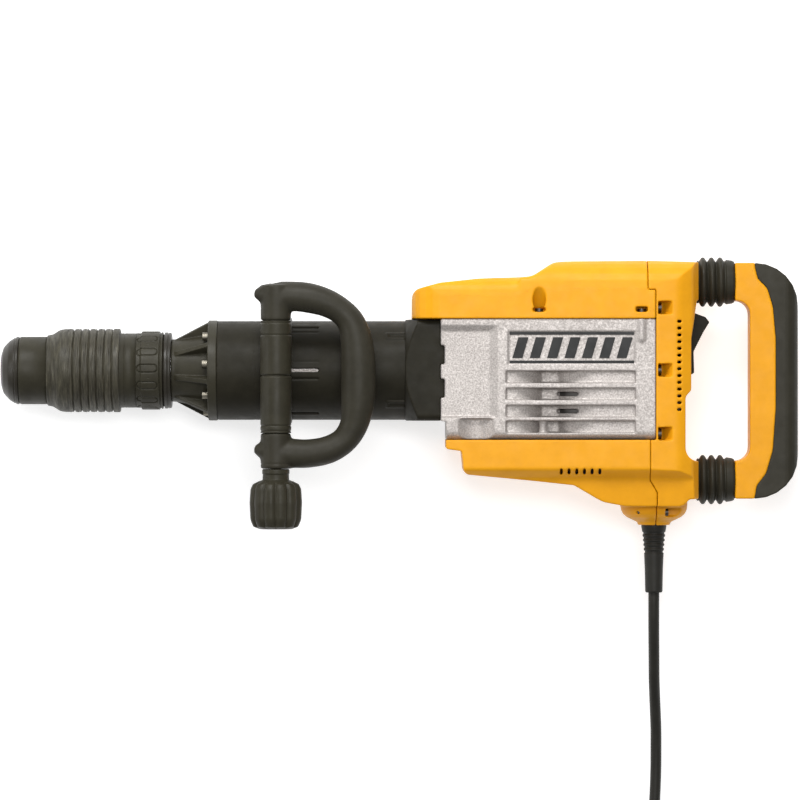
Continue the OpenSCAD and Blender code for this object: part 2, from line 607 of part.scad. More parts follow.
module top_hood() color([1.0, 0.68, 0.15]) difference() {
    union() {
        difference() {
            hood_solid(0);
            hood_solid(wall);
            translate([0, -6, 0]) hood_solid(wall);
            block([225, 48, -56.8], [245, 66, 56.8]);
        }
        intersection() {
            hood_solid(0);
            both_sides() {
                block([122.5, 50, 42], [141.5, 78, 60]);
                block([219, 50, 42], [238, 64, 60]);
            }
        }
    }
    hood_screw_pockets();
    both_sides() for (x = hood_screw_x) translate([x, 0, hood_screw_z]) ycyl(40, 60, 2.1);
    both_sides() translate([0, rear_screw_y[0], rear_screw_z]) xcyl(234, 243, 2.55);
    for (i = [0 : 5]) translate([34 + 3 * i, 84, 0]) rotate([0, 0, -25]) block([-0.7, -8, -30], [0.7, 8, 30]);
}

module case_screws() color([0.55, 0.55, 0.52]) both_sides() {
    for (i = [0, 1]) translate([hood_screw_x[i], 0, hood_screw_z]) {
        ycyl(hood_screw_y[i], hood_screw_y[i] + 3.2, 4);
        ycyl(36, hood_screw_y[i], 2);
    }
    for (y = rear_screw_y) translate([0, y, rear_screw_z]) {
        xcyl(rear_screw_x, rear_screw_x + 3.4, 5);
        xcyl(y > 0 ? 235.6 : 228, rear_screw_x, 2.5);
    }
    translate([0, -134.8, 24]) {
        xcyl(252, 255, 3.4);
        xcyl(226, 252, 1.8);
    }
}

// Round boss that the cord comes out of, split between the two plastic housings
module cord_boss_form() translate([cord_x, 0, 0]) rotate([-90, 0, 0]) rotate_extrude()
    polygon([[0, -147.5], [15.2, -147.5], [16.2, -144.6], [20.5, -142.6], [26, -140], [29.6, -136.8], [31.4, -133],
        [32, -129], [32, -116], [0, -116]]);
module cord_boss(x0, x1) intersection() {
    block([x0, -150, -35], [x1, -108, 35]);
    cord_boss_form();
}

module cord_boss_inside() {
    translate([cord_x, 0, 0]) {
        ycyl(-137.5, -100, 25);
        ycyl(-149, -137, 12.2);
    }
}

module cord_boss_screws(x0) difference() {
    intersection() {
        block([x0, -141, 18], [x0 + 26, -126, 30]);
        cord_boss_form();
    }
    translate([0, -134.8, 24]) xcyl(x0 - 1, x0 + 27, 1.85);
}

module bottom_solid(d) intersection() {
    slab(outline(inset(bottom_side, d)), d - half_depth, half_depth - d);
    across(outline(inset(bottom_section, d)), 30, 250);
}

module bottom_hood() color([1.0, 0.68, 0.15]) difference() {
    union() {
        difference() {
            union() {
                bottom_solid(0);
                cord_boss(200, 243.4);
            }
            bottom_solid(wall);
            translate([0, 6, 0]) bottom_solid(wall);
            translate([6, 0, 0]) bottom_solid(wall);
            cord_boss_inside();
        }
        both_sides() intersection() {
            cord_boss_screws(217);
            block([200, -150, -35], [243.4, -100, 35]);
        }
    }
    both_sides() translate([0, -134.8, 24]) xcyl(225, 245, 1.85);
    both_sides() for (i = [0 : 5]) block([151 + 7.3 * i, -98.8, 40], [153.6 + 7.3 * i, -92.8, 62]);
}

module rear_body(d) intersection() {
    slab(outline(inset(rear_side, d)), d - half_depth, half_depth - d);
    across(outline(inset(rear_section, d)), 230, 290);
    plan(outline(inset(rear_plan, d)), -140, 110);
}

module rear_spine(d) intersection() {
    slab(outline(inset(rear_side, d)), d - 18, 18 - d);
    union() {
        for (y = arm_y) across(outline(rect([y - 18 + d, d - 18], [y + 18 - d, 18 - d], 12)), 250, 290);
        block([250, -90, d - 18], [290, 68, 18 - d]);
    }
}

module rear_housing() color([1.0, 0.68, 0.15]) difference() {
    union() {
        difference() {
            union() {
                rear_body(0);
                rear_spine(0);
                cord_boss(243.8, 290);
            }
            for (x = [0, -7]) translate([x, 0, 0]) rear_body(wall);
            rear_spine(wall);
            cord_boss_inside();
        }
        both_sides() intersection() {
            rear_body(0);
            for (y = rear_screw_y) block([241.9, y - 9, 41], [260, y + 9, 60]);
        }
        both_sides() intersection() {
            cord_boss_screws(243.8);
            block([243.8, -150, -35], [290, -100, 35]);
        }
    }
    both_sides() {
        for (y = rear_screw_y) {
            plan([[rear_screw_x, -44.4], [rear_screw_x + 5, -44.4], [rear_screw_x + 15, -61], [rear_screw_x, -61]],
                y - 6.2, y + 6.2);
            translate([0, y, rear_screw_z]) xcyl(240, 247, 2.55);
        }
        block([252, -138.6, 18.5], [267, -131, 36]);
        translate([0, -134.8, 24]) xcyl(240, 253, 1.85);
        for (i = [0 : 13], x = [263, 264.6]) translate([x, 46 - 6.4 * i, 0]) zcyl(30, 62, 1.4);
    }
    block([262, -6.2, -11.6], [290, 56.9, 11.6]);
    for (y = arm_y) translate([0, y, 0]) xcyl(270, 290, 5.02);
}

// ---- rear handle ----
module bow_solid(d) intersection() {
    slab(outline(inset(bow_side, d)), d - bow_half_depth, bow_half_depth - d);
    plan(outline(inset(bow_plan, d)), -130, 110);
}

module handle_shells() color([1.0, 0.68, 0.15]) difference() {
    union() {
        difference() {
            bow_solid(0);
            slab(outline(grip_zone), -30, 30);
        }
        intersection() {
            bow_solid(2.6);
            slab(outline(grip_zone), -30, 30);
        }
    }
    block([343, -78, -11], [371, 58, 11]);
    for (y = arm_y) translate([0, y, 0]) xcyl(310, 346, 5.1);
    block([300, -140, -0.05], [400, 120, 0.05]);
}

module handle_grip() color([0.2, 0.2, 0.19]) difference() {
    intersection() {
        bow_solid(0);
        slab(outline(grip_zone), -30, 30);
    }
    bow_solid(2.6);
    for (y = arm_y) translate([0, y, 0]) xcyl(310, 346, 5.1);
}

module handle_rods() color([0.6, 0.6, 0.62]) for (y = arm_y) translate([0, y, 0]) {
    xcyl(268, 335, 5);
    xcyl(274, 280, 9);
}

module handle_springs() color([0.5, 0.5, 0.52]) for (y = arm_y) translate([0, y, 0])
    spring_x(arm_front + 0.1, bow_front - 0.1, 11, 1.6, 5);

module handle_bellows() color([0.18, 0.18, 0.17]) for (y = arm_y) translate([0, y, 0]) {
    valley = bellows_r - 3.6;
    peaks = [289, 297.2, 305.4];
    spun(concat([[arm_front + 0.05, 17], [bow_front - 0.05, 17], [bow_front - 0.05, valley], [311, valley + 0.6]],
        [for (i = [2 : -1 : 0]) each [[peaks[i] + 1.6, bellows_r], [peaks[i] - 1.6, bellows_r],
            [peaks[i] - 4, valley]]],
        [[arm_front + 0.05, valley]]));
}

module rocker_switch() color([0.18, 0.18, 0.17]) difference() {
    slab(outline([[280.9, 54.6, 1], [268, 52, 1], [265, 24, 4], [267, -3.6, 1], [275.8, -5.1, 1], [280.4, -2.3, 1],
        [279.8, 18, 6], [289.1, 36.5, 6], [295, 46, 1], [291, 51, 1]]), -11, 11);
    translate(concat(rocker_pivot, [0])) zcyl(-12, 12, 2.05);
}

module switch_module() color([0.25, 0.25, 0.25]) {
    difference() {
        block([243.5, 0, -13], [260, 48, 13]);
        for (y = [8, 24, 40]) block([242, y - 3, -9], [250, y + 3, 9]);
    }
    translate(concat(rocker_pivot, [0])) zcyl(-17.9, 17.9, 2);
}

// ---- cord ----
floor_z = -half_depth;
cord_r = cord_d / 2;
coil_centre = [169, -515];
coil_mean_r = 62;
coil_pitch = 10.7;
coil_turns = [3, 4];
tie_gap = 1.2;
coil_base = floor_z + tie_gap;
coil_w = coil_turns[0] * coil_pitch / 2;
coil_h = coil_turns[1] * coil_pitch;
lead_route = [[cord_x, -138, 0], [cord_x, -160, 0], [cord_x, -185, 0], [cord_x, -210, 0], [cord_x, -228, -1],
    [242.6, -246, -5], [243, -262, -11], [243.5, -279, -19], [244, -296, -27], [245, -313, -36], [246, -330, -43],
    [246.8, -346, -49], [247, -363, -53], [247, -381, -54.6], [246.5, -400, -54.7], [245.5, -420, -54.5],
    [244, -440, -54], [242.6, -458, -53.6], [241.9, -486, -53.5]];
tail_route = [[122, -575, -21.5], [111, -566, -22], [99, -559, -24.5], [87, -551, -29], [75, -543, -34.5],
    [63, -535, -40], [51, -527, -45], [39, -519, -48.5], [27, -511, -50.5], [16, -503.7, -51]];
plug_angle = 146.3;

module cord_guard() color([0.16, 0.16, 0.15]) translate([cord_x, 0, 0]) rotate([-90, 0, 0]) rotate_extrude()
    polygon([[5.4, -212], [7.6, -212], [8.2, -210], [8.6, -190], [9.2, -171], [12.1, -147.5], [12.1, -137.4],
        [16, -137.4], [16, -134], [5.4, -134]]);

module cord_lead() color([0.14, 0.14, 0.13]) swept(lead_route, cord_r, 8);
module cord_tail() color([0.14, 0.14, 0.13]) swept(tail_route, cord_r, 8);

module cord_coil() color([0.14, 0.14, 0.13]) translate([coil_centre[0], coil_centre[1], coil_base])
    rotate_extrude() polygon(outline(rect([coil_mean_r - coil_w, 0], [coil_mean_r + coil_w, coil_h], 4)));

module coil_tie() color([0.1, 0.1, 0.1]) translate([coil_centre[0], coil_centre[1], 0]) rotate([0, 0, 90])
    difference() {
        block([coil_mean_r - coil_w - 1.2, -9, floor_z], [coil_mean_r + coil_w + 1.2, 9, coil_base + coil_h + 1.2]);
        translate([0, 0, coil_base]) rotate_extrude()
            polygon(outline(rect([coil_mean_r - coil_w, 0], [coil_mean_r + coil_w, coil_h], 4)));
    }

module plug() color([0.14, 0.14, 0.13]) translate([tail_route[9][0], tail_route[9][1], floor_z + 9])
    rotate([0, 0, plug_angle]) {
        xcyl(0, 16, 7);
        translate([0, 0, -9]) linear_extrude(18) polygon(outline([[12, -8, 4], [24, -13, 5], [52, -13, 3],
            [52, 13, 3], [24, 13, 5], [12, 8, 4]]));
        for (s = [-1, 1]) block([52, s * 6.35 - 0.8, -3.2], [69, s * 6.35 + 0.8, 3.2]);
    }

// Sets the middle of the footprint at the origin, with the flat side down on Z = 0
module placed() { translate([0.4, 20.9, half_depth]) children(); }

placed() crankcase();
placed() gear_cover();
placed() barrel_housing();
placed() barrel_sleeve();
placed() barrel_collar();
placed() front_housing();
placed() front_screws();
placed() seal_ring();
placed() cylinder_liner();
placed() bolt_guide();
placed() top_hood();
placed() bottom_hood();
placed() rear_housing();
placed() case_screws();
placed() motor_stator();
placed() armature_shaft();
placed() armature_core();
placed() commutator();
placed() cooling_fan();
placed() shaft_bearings();
placed() brush_bracket();
placed() carbon_brushes();
placed() layshaft();
placed() intermediate_gear();
placed() crankshaft();
placed() crank_gear();
placed() connecting_rod();
placed() crank_pin();
placed() piston();
placed() wrist_pin();
placed() ram();
placed() impact_bolt();
placed() holder_tube();
placed() nose_bush();
placed() dust_cap();
placed() chuck_body();
placed() index_collar();
placed() lock_sleeve();
placed() lock_cam();
placed() lock_spring();
placed() lock_ball(1);  // lock_ball_top
placed() lock_ball(-1);  // lock_ball_bottom
placed() clamp_band();
placed() clamp_saddles();
placed() clamp_bolt();
placed() loop_handle();
placed() clamp_knob();
placed() handle_shells();
placed() handle_grip();
placed() handle_rods();
placed() handle_springs();
placed() handle_bellows();
placed() rocker_switch();
placed() switch_module();
placed() cord_guard();
placed() cord_lead();
placed() cord_coil();
placed() coil_tie();
placed() cord_tail();
placed() plug();
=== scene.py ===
"""The looks of a corded demolition hammer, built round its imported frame.

Lengths in the lists and calls below are millimetres in the tool's own frame, whose X axis is the
hammer axis. at() and the mesh makers turn them into the frame's metres.
"""

import json
import math

import bmesh
import bpy
import numpy as np
from mathutils import Matrix, Vector


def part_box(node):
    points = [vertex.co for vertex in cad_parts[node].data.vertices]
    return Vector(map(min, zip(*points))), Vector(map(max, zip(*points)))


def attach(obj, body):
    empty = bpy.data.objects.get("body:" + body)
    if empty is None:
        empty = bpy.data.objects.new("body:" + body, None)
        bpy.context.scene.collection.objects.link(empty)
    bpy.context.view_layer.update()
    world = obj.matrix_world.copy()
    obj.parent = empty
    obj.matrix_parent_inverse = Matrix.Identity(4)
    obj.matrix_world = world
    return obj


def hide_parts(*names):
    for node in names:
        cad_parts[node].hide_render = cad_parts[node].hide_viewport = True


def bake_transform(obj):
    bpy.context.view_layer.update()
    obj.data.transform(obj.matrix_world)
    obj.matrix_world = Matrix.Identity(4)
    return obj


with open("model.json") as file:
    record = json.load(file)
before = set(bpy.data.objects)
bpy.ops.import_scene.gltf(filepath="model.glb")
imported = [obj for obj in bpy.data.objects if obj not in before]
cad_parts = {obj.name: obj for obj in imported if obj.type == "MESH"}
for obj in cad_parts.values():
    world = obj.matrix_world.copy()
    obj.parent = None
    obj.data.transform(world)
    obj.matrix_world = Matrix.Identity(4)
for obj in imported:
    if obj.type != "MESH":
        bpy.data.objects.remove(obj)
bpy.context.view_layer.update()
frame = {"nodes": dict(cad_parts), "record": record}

SLOT_OF = {s["node"]: s["material_slot"] for s in frame["record"]["subparts"]}
BODY_OF = {node: body for body, nodes in frame["record"]["behaviour"]["bodies"].items() for node in nodes}

MM = 0.001
CASE_FRONT = 38.5  # X of the metal case's front face
CASE_HALF = 58  # half the metal case's depth
HOLDER_RADIUS = 17.1  # bore of the pieces that sit on the holder tube
ROUND = 160  # segments round a turned piece
TUBE_SIDES = 40
SAME_POINT, CAD_WELD = 1e-7, 2e-6  # metres within which two points become one
MOST_FACES = 95000  # in one remeshed piece
COARSER = 1.0


def middle(node):
    low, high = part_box(node)
    return (Vector(low) + Vector(high)) / 2


AXIS = middle("cylinder_liner")
ORIGIN = Vector((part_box("crankcase")[0][0] - CASE_FRONT * MM, AXIS.y, AXIS.z))
FLOOR = -ORIGIN.z / MM


def at(x, y, z):
    return ORIGIN + Vector((x, y, z)) * MM


# ---- camera, light and floor ----

VIEW_WIDTH = 764.0  # seen across, at the height of the hammer axis
VIEW_MIDDLE_Y = -28.2
CAMERA_DISTANCE = 5000.0
SENSOR = 36.0
FLOOR_REACH = 6.0  # metres each way
FLOOR_GAP = 0.0002  # metres


def add_camera():
    data = bpy.data.cameras.new("camera")
    data.sensor_width = SENSOR
    data.lens = SENSOR * CAMERA_DISTANCE / VIEW_WIDTH
    camera = bpy.data.objects.new("camera", data)
    camera.location = at(0, VIEW_MIDDLE_Y, CAMERA_DISTANCE)
    bpy.context.collection.objects.link(camera)
    bpy.context.scene.camera = camera


def add_light(name, place, size, watts):
    """An area light that points at the middle of the hammer."""
    data = bpy.data.lights.new(name, "AREA")
    data.shape = "RECTANGLE"
    data.size, data.size_y = (v * MM for v in size)
    data.energy = watts
    light = bpy.data.objects.new(name, data)
    light.location = at(*place)
    light.rotation_euler = (ORIGIN - light.location).to_track_quat("-Z", "Y").to_euler()
    bpy.context.collection.objects.link(light)


def add_surroundings():
    world = bpy.data.worlds.new("studio")
    world.use_nodes = True
    background = world.node_tree.nodes["Background"]
    background.inputs["Color"].default_value = (1, 1, 1, 1)
    background.inputs["Strength"].default_value = 0.36
    bpy.context.scene.world = world
    bpy.context.scene.view_settings.view_transform = "Standard"
    add_light("key", (-250, 1500, 1300), (1500, 600), 38)
    add_light("front", (150, 350, 2600), (1200, 500), 27)
    add_light("side", (-1700, 200, 800), (900, 500), 6)


def add_floor():
    """A white sheet that glows a little, so that only the hammer's soft shadow shows on it."""
    mesh = bpy.data.meshes.new("floor")
    corners = [(-1, -1), (1, -1), (1, 1), (-1, 1)]
    mesh.from_pydata([(FLOOR_REACH * x, FLOOR_REACH * y, 0) for x, y in corners], [], [(0, 1, 2, 3)])
    floor = bpy.data.objects.new("floor", mesh)
    floor.location.z = -FLOOR_GAP
    bpy.context.collection.objects.link(floor)
    mat, _, shader, _ = new_shader("floor_white")
    shader.inputs["Base Color"].default_value = (0.60, 0.60, 0.60, 1)
    shader.inputs["Roughness"].default_value = 0.9
    shader.inputs["Emission Color"].default_value = (1, 1, 1, 1)
    shader.inputs["Emission Strength"].default_value = 0.66
    mesh.materials.append(mat)


# ---- materials ----

def new_shader(name):
    """A new material, its node tree, its shader and the object coordinates."""
    mat = bpy.data.materials.new(name)
    mat.use_nodes = True
    tree = mat.node_tree
    shader = tree.nodes["Principled BSDF"]
    place = tree.nodes.new("ShaderNodeTexCoord").outputs["Object"]
    return mat, tree, shader, place


def noise(tree, place, scale, detail=3.0, rough=0.55, stretch=None):
    """scale counts grains in a metre."""
    if stretch:
        mapping = tree.nodes.new("ShaderNodeMapping")
        mapping.inputs["Scale"].default_value = stretch
        tree.links.new(place, mapping.inputs["Vector"])
        place = mapping.outputs["Vector"]
    node = tree.nodes.new("ShaderNodeTexNoise")
    node.inputs["Scale"].default_value = scale
    node.inputs["Detail"].default_value = detail
    node.inputs["Roughness"].default_value = rough
    tree.links.new(place, node.inputs["Vector"])
    return node.outputs["Fac"]


def ramp(tree, value, stops):
    """stops: (position, colour or grey level)."""
    node = tree.nodes.new("ShaderNodeValToRGB")
    elements = node.color_ramp.elements
    while len(elements) < len(stops):
        elements.new(0.5)
    for element, (position, colour) in zip(elements, stops):
        element.position = position
        element.color = (colour,) * 3 + (1,) if isinstance(colour, float) else (*colour, 1)
    tree.links.new(value, node.inputs["Fac"])
    return node.outputs["Color"]


def bumps(tree, shader, heights):
    """heights: (height output, strength, distance in mm), added one over the other."""
    normal = None
    for height, strength, depth in heights:
        node = tree.nodes.new("ShaderNodeBump")
        node.inputs["Strength"].default_value = strength
        node.inputs["Distance"].default_value = depth * MM
        tree.links.new(height, node.inputs["Height"])
        if normal:
            tree.links.new(normal, node.inputs["Normal"])
        normal = node.outputs["Normal"]
    tree.links.new(normal, shader.inputs["Normal"])


def moulded(name, dark, light, rough, grain, peel, specular=0.28, wear=None):
    """A moulded plastic or rubber: a slow drift of colour, a fine texture and a slightly uneven gloss."""
    mat, tree, shader, place = new_shader(name)
    stops = [(0.35, dark), (0.65, light)]
    if wear:
        stops = [(0.3, dark), (0.62, light), (0.74, light), (0.8, wear)]
    tree.links.new(ramp(tree, noise(tree, place, 38, 6.0, 0.68), stops), shader.inputs["Base Color"])
    tree.links.new(ramp(tree, noise(tree, place, 90, 4.0), [(0.3, rough - 0.06), (0.7, rough + 0.07)]),
                   shader.inputs["Roughness"])
    shader.inputs["Specular IOR Level"].default_value = specular
    bumps(tree, shader, [(noise(tree, place, grain, 2.0), 0.35, 0.06),
                         (noise(tree, place, 170, 2.0), peel, 0.25)])
    return mat


def streaked(name, dark, light):
    """A casting with fine lighter, glossier streaks that run round the hammer axis: a streaky grain, lightened
    into painted highlight lines.
    """
    mat, tree, shader, place = new_shader(name)
    streaks = noise(tree, place, 60, 5.0, 0.7, (9, 1, 1))
    between_them = tuple(0.6 * a + 0.4 * b for a, b in zip(dark, light))
    tree.links.new(ramp(tree, streaks, [(0.36, dark), (0.56, between_them), (0.72, light)]),
                   shader.inputs["Base Color"])
    tree.links.new(ramp(tree, streaks, [(0.35, 0.55), (0.7, 0.38)]), shader.inputs["Roughness"])
    shader.inputs["Specular IOR Level"].default_value = 0.3
    bumps(tree, shader, [(streaks, 0.6, 0.35), (noise(tree, place, 900, 2.0), 0.3, 0.06)])
    return mat


def metal(name, dark, light, rough, scale, stretch=(1, 1, 1), metallic=1.0):
    """A worked metal: stretch draws the grain out along the direction with the small number."""
    mat, tree, shader, place = new_shader(name)
    shader.inputs["Metallic"].default_value = metallic
    grain = noise(tree, place, scale, 6.0, 0.65, stretch)
    tree.links.new(ramp(tree, grain, [(0.3, dark), (0.7, light)]), shader.inputs["Base Color"])
    tree.links.new(ramp(tree, grain, [(0.3, rough - 0.07), (0.75, rough + 0.1)]), shader.inputs["Roughness"])
    bumps(tree, shader, [(noise(tree, place, scale * 9, 3.0, 0.6, stretch), 0.12, 0.03)])
    return mat


def cast_alloy():
    """Bead-blasted casting: bright and dark specks about a millimetre wide over a grey ground."""
    mat, tree, shader, place = new_shader("cast_alloy")
    shader.inputs["Metallic"].default_value = 0.35
    specks = noise(tree, place, 700, 3.0, 0.7)
    ground = ramp(tree, specks, [(0.34, (0.33, 0.303, 0.283)), (0.5, (0.455, 0.421, 0.397)),
                                 (0.66, (0.60, 0.560, 0.532))])
    cloud = ramp(tree, noise(tree, place, 24, 4.0, 0.6), [(0.3, (0.86, 0.85, 0.85)), (0.7, (1.0, 1.0, 1.0))])
    mix = tree.nodes.new("ShaderNodeMix")
    mix.data_type = "RGBA"
    mix.blend_type = "MULTIPLY"
    mix.inputs["Factor"].default_value = 1.0
    tree.links.new(ground, mix.inputs["A"])
    tree.links.new(cloud, mix.inputs["B"])
    tree.links.new(mix.outputs["Result"], shader.inputs["Base Color"])
    tree.links.new(ramp(tree, specks, [(0.35, 0.62), (0.65, 0.4)]), shader.inputs["Roughness"])
    bumps(tree, shader, [(noise(tree, place, 900, 3.0, 0.7), 0.32, 0.16),
                         (noise(tree, place, 60, 2.0), 0.2, 0.5)])
    return mat


def woven():
    """Hook-and-loop tape: two sets of fine threads across each other."""
    mat, tree, shader, place = new_shader("tie_fabric")
    waves = []
    for direction in ("X", "Z"):
        node = tree.nodes.new("ShaderNodeTexWave")
        node.bands_direction = direction
        node.inputs["Scale"].default_value = 420
        node.inputs["Distortion"].default_value = 1.5
        tree.links.new(place, node.inputs["Vector"])
        waves.append(node.outputs["Fac"])
    tree.links.new(ramp(tree, waves[0], [(0.2, (0.012, 0.012, 0.012)), (0.8, (0.035, 0.035, 0.034))]),
                   shader.inputs["Base Color"])
    shader.inputs["Roughness"].default_value = 0.85
    shader.inputs["Sheen Weight"].default_value = 0.4
    bumps(tree, shader, [(waves[0], 0.5, 0.3), (waves[1], 0.5, 0.3)])
    return mat


# dark and light colour, roughness, grain, unevenness, and where they aren't usual: specular, worn colour
MOULDED = {
    "yellow_plastic": ((0.70, 0.300, 0.0030), (0.77, 0.336, 0.0045), 0.45, 1500, 0.08, 0.22),
    "black_plastic": ((0.0135, 0.0120, 0.0076), (0.0200, 0.0180, 0.0118), 0.48, 1700, 0.10, 0.11,
                      (0.036, 0.034, 0.028)),
    "front_casting": ((0.0215, 0.0192, 0.0118), (0.0330, 0.0300, 0.0192), 0.46, 900, 0.12, 0.2,
                      (0.060, 0.055, 0.040)),
    "nose_rubber": ((0.0180, 0.0155, 0.0108), (0.0255, 0.0225, 0.0162), 0.38, 900, 0.06),
    "grip_rubber": ((0.0225, 0.0202, 0.0132), (0.0310, 0.0280, 0.0190), 0.50, 1100, 0.14, 0.2),
    "band_steel": ((0.018, 0.017, 0.013), (0.026, 0.024, 0.019), 0.34, 900, 0.1, 0.28, (0.10, 0.10, 0.095)),
    "inner_plastic": ((0.015, 0.015, 0.016), (0.035, 0.035, 0.036), 0.5, 500, 0.3),
    "carbon": ((0.012, 0.012, 0.013), (0.03, 0.03, 0.032), 0.6, 900, 0.3),
    "cord_rubber": ((0.0135, 0.0128, 0.0100), (0.0195, 0.0185, 0.0150), 0.50, 900, 0.12),
    "printed_black": ((0.012, 0.012, 0.012), (0.020, 0.020, 0.020), 0.5, 900, 0.1),
}
# dark and light colour, roughness, grain, and where they aren't usual: stretch of the grain, metallic
METALS = {
    "machined_steel": ((0.42, 0.42, 0.43), (0.62, 0.62, 0.63), 0.26, 40, (1, 14, 14)),
    "gear_steel": ((0.30, 0.30, 0.32), (0.46, 0.46, 0.48), 0.34, 70),
    "piston_alloy": ((0.62, 0.62, 0.63), (0.78, 0.78, 0.79), 0.30, 50, (14, 1, 1)),
    "spring_steel": ((0.26, 0.26, 0.27), (0.42, 0.42, 0.44), 0.32, 90),
    "screw_steel": ((0.17, 0.155, 0.125), (0.30, 0.28, 0.23), 0.46, 160),
    "screw_black": ((0.05, 0.045, 0.04), (0.11, 0.10, 0.09), 0.42, 160),
    "motor_iron": ((0.10, 0.095, 0.09), (0.24, 0.23, 0.22), 0.55, 45, (1, 30, 1), 0.9),
    "copper": ((0.60, 0.28, 0.14), (0.85, 0.45, 0.28), 0.28, 60, (1, 20, 1)),
    "pin_brass": ((0.62, 0.47, 0.24), (0.80, 0.64, 0.36), 0.24, 80),
}


def make_materials():
    made = {name: moulded(name, *values) for name, values in MOULDED.items()}
    made |= {name: metal(name, *values) for name, values in METALS.items()}
    made["cast_alloy"] = cast_alloy()
    # the lock sleeve's casting: its lighter streaks are painted highlight lines
    made["highlight_streaked_casting"] = streaked("highlight_streaked_casting", (0.0190, 0.0168, 0.0098), (0.0860, 0.0785, 0.0540))
    made["tie_fabric"] = woven()
    return made


# ---- shapes ----

def fillet(points, steps=6):
    """An open or closed line of (a, b, radius) corners with its corners rounded; the ends stay."""
    line = []
    for i, (a, b, radius) in enumerate(points):
        q = Vector((a, b))
        if radius <= 0 or i in (0, len(points) - 1):
            line.append(q)
            continue
        p, s = (Vector(points[j][:2]) for j in (i - 1, i + 1))
        u, w = (p - q), (s - q)
        lengths = u.length, w.length
        u.normalize()
        w.normalize()
        half = math.acos(max(-1, min(1, u.dot(w)))) / 2
        run = min(radius / math.tan(half), 0.49 * min(lengths))
        reach = run * math.tan(half)
        t, e = q + u * run, q + w * run
        centre = q + (u + w).normalized() * (reach / math.sin(half))
        start = math.atan2(t.y - centre.y, t.x - centre.x)
        sweep = (math.atan2(e.y - centre.y, e.x - centre.x) - start + 3 * math.pi) % (2 * math.pi) - math.pi
        angles = [start + sweep * k / steps for k in range(steps + 1)]
        line += [centre + reach * Vector((math.cos(angle), math.sin(angle))) for angle in angles]
    return line


def linked(name, data):
    thing = bpy.data.objects.new(name, data)
    bpy.context.collection.objects.link(thing)
    return thing


def mesh_object(name, points, faces, smooth=True):
    mesh = bpy.data.meshes.new(name)
    mesh.from_pydata([tuple(p) for p in points], [], faces)
    bm = bmesh.new()
    bm.from_mesh(mesh)
    bmesh.ops.remove_doubles(bm, verts=bm.verts, dist=SAME_POINT)
    bmesh.ops.recalc_face_normals(bm, faces=bm.faces)
    bm.to_mesh(mesh)
    bm.free()
    mesh.polygons.foreach_set("use_smooth", [smooth] * len(mesh.polygons))
    return linked(name, mesh)


def skin(rows, count):
    """The faces of a tube of rows of count points each, closed at both ends."""
    faces = []
    for first in range(0, (rows - 1) * count, count):
        for k in range(count):
            m = (k + 1) % count
            faces.append((first + k, first + m, first + count + m, first + count + k))
    return faces + [tuple(range(count))[::-1], tuple(range((rows - 1) * count, rows * count))]


def turned(name, profile, axis="X", centre=(0, 0, 0), segments=ROUND, shape=None):
    """A closed line of (along, radius) points turned round an axis. shape(along, radius, angle) may
    return another (along, radius)."""
    points, faces, rows = [], [], len(profile)
    for k in range(segments):
        angle = 2 * math.pi * k / segments
        for along, radius in profile:
            a, r = shape(along, radius, angle) if shape else (along, radius)
            across = (r * math.cos(angle), r * math.sin(angle))
            local = (a, *across) if axis == "X" else (across[1], a, across[0])
            points.append(at(*(c + v for c, v in zip(centre, local))))
    for k in range(segments):
        for i in range(rows):
            j, m = (i + 1) % rows, (k + 1) % segments
            faces.append((k * rows + i, m * rows + i, m * rows + j, k * rows + j))
    return mesh_object(name, points, faces)


def apply_modifiers(thing):
    """Turns the modifiers into plain mesh."""
    mesh = bpy.data.meshes.new_from_object(thing.evaluated_get(bpy.context.evaluated_depsgraph_get()))
    thing.modifiers.clear()
    thing.data = mesh


def remeshed(thing, voxel, rounds):
    """Turns a hard-edged solid into a moulded one: every edge gets a small round."""
    modifier = thing.modifiers.new("voxels", "REMESH")
    modifier.mode = "VOXEL"
    modifier.voxel_size = voxel * COARSER * MM
    modifier = thing.modifiers.new("round", "SMOOTH")
    modifier.factor = 0.5
    modifier.iterations = rounds
    apply_modifiers(thing)
    if len(thing.data.polygons) > MOST_FACES:
        modifier = thing.modifiers.new("fewer", "DECIMATE")
        modifier.ratio = MOST_FACES / len(thing.data.polygons)
        apply_modifiers(thing)
    thing.data.polygons.foreach_set("use_smooth", [True] * len(thing.data.polygons))
    return thing


def copied(node):
    """A copy of a CAD node's mesh with its points welded."""
    mesh = frame["nodes"][node].data.copy()
    mesh.materials.clear()
    bm = bmesh.new()
    bm.from_mesh(mesh)
    bmesh.ops.remove_doubles(bm, verts=bm.verts, dist=CAD_WELD)
    bm.to_mesh(mesh)
    bm.free()
    return linked(f"{node}_shape", mesh)


def carve(thing, cutter):
    modifier = thing.modifiers.new("carve", "BOOLEAN")
    modifier.object = cutter
    modifier.operation = "DIFFERENCE"
    modifier.solver = "MANIFOLD"
    apply_modifiers(thing)
    bpy.data.objects.remove(cutter)


def dressed(thing, body, slot, *nodes, material=None):
    """Gives a piece its material, its body and the CAD nodes that it stands for. A piece that two bodies
    share has no body here."""
    thing.data.materials.clear()
    thing.data.materials.append(MATERIALS[material or slot])
    if body:
        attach(thing, body)
    if nodes:
        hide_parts(*nodes)
    return thing


def own_points(thing):
    """A mesh's points in the tool's own millimetres, one row each."""
    flat = np.empty(len(thing.data.vertices) * 3)
    thing.data.vertices.foreach_get("co", flat)
    return (flat.reshape(-1, 3) - np.array(ORIGIN)) / MM


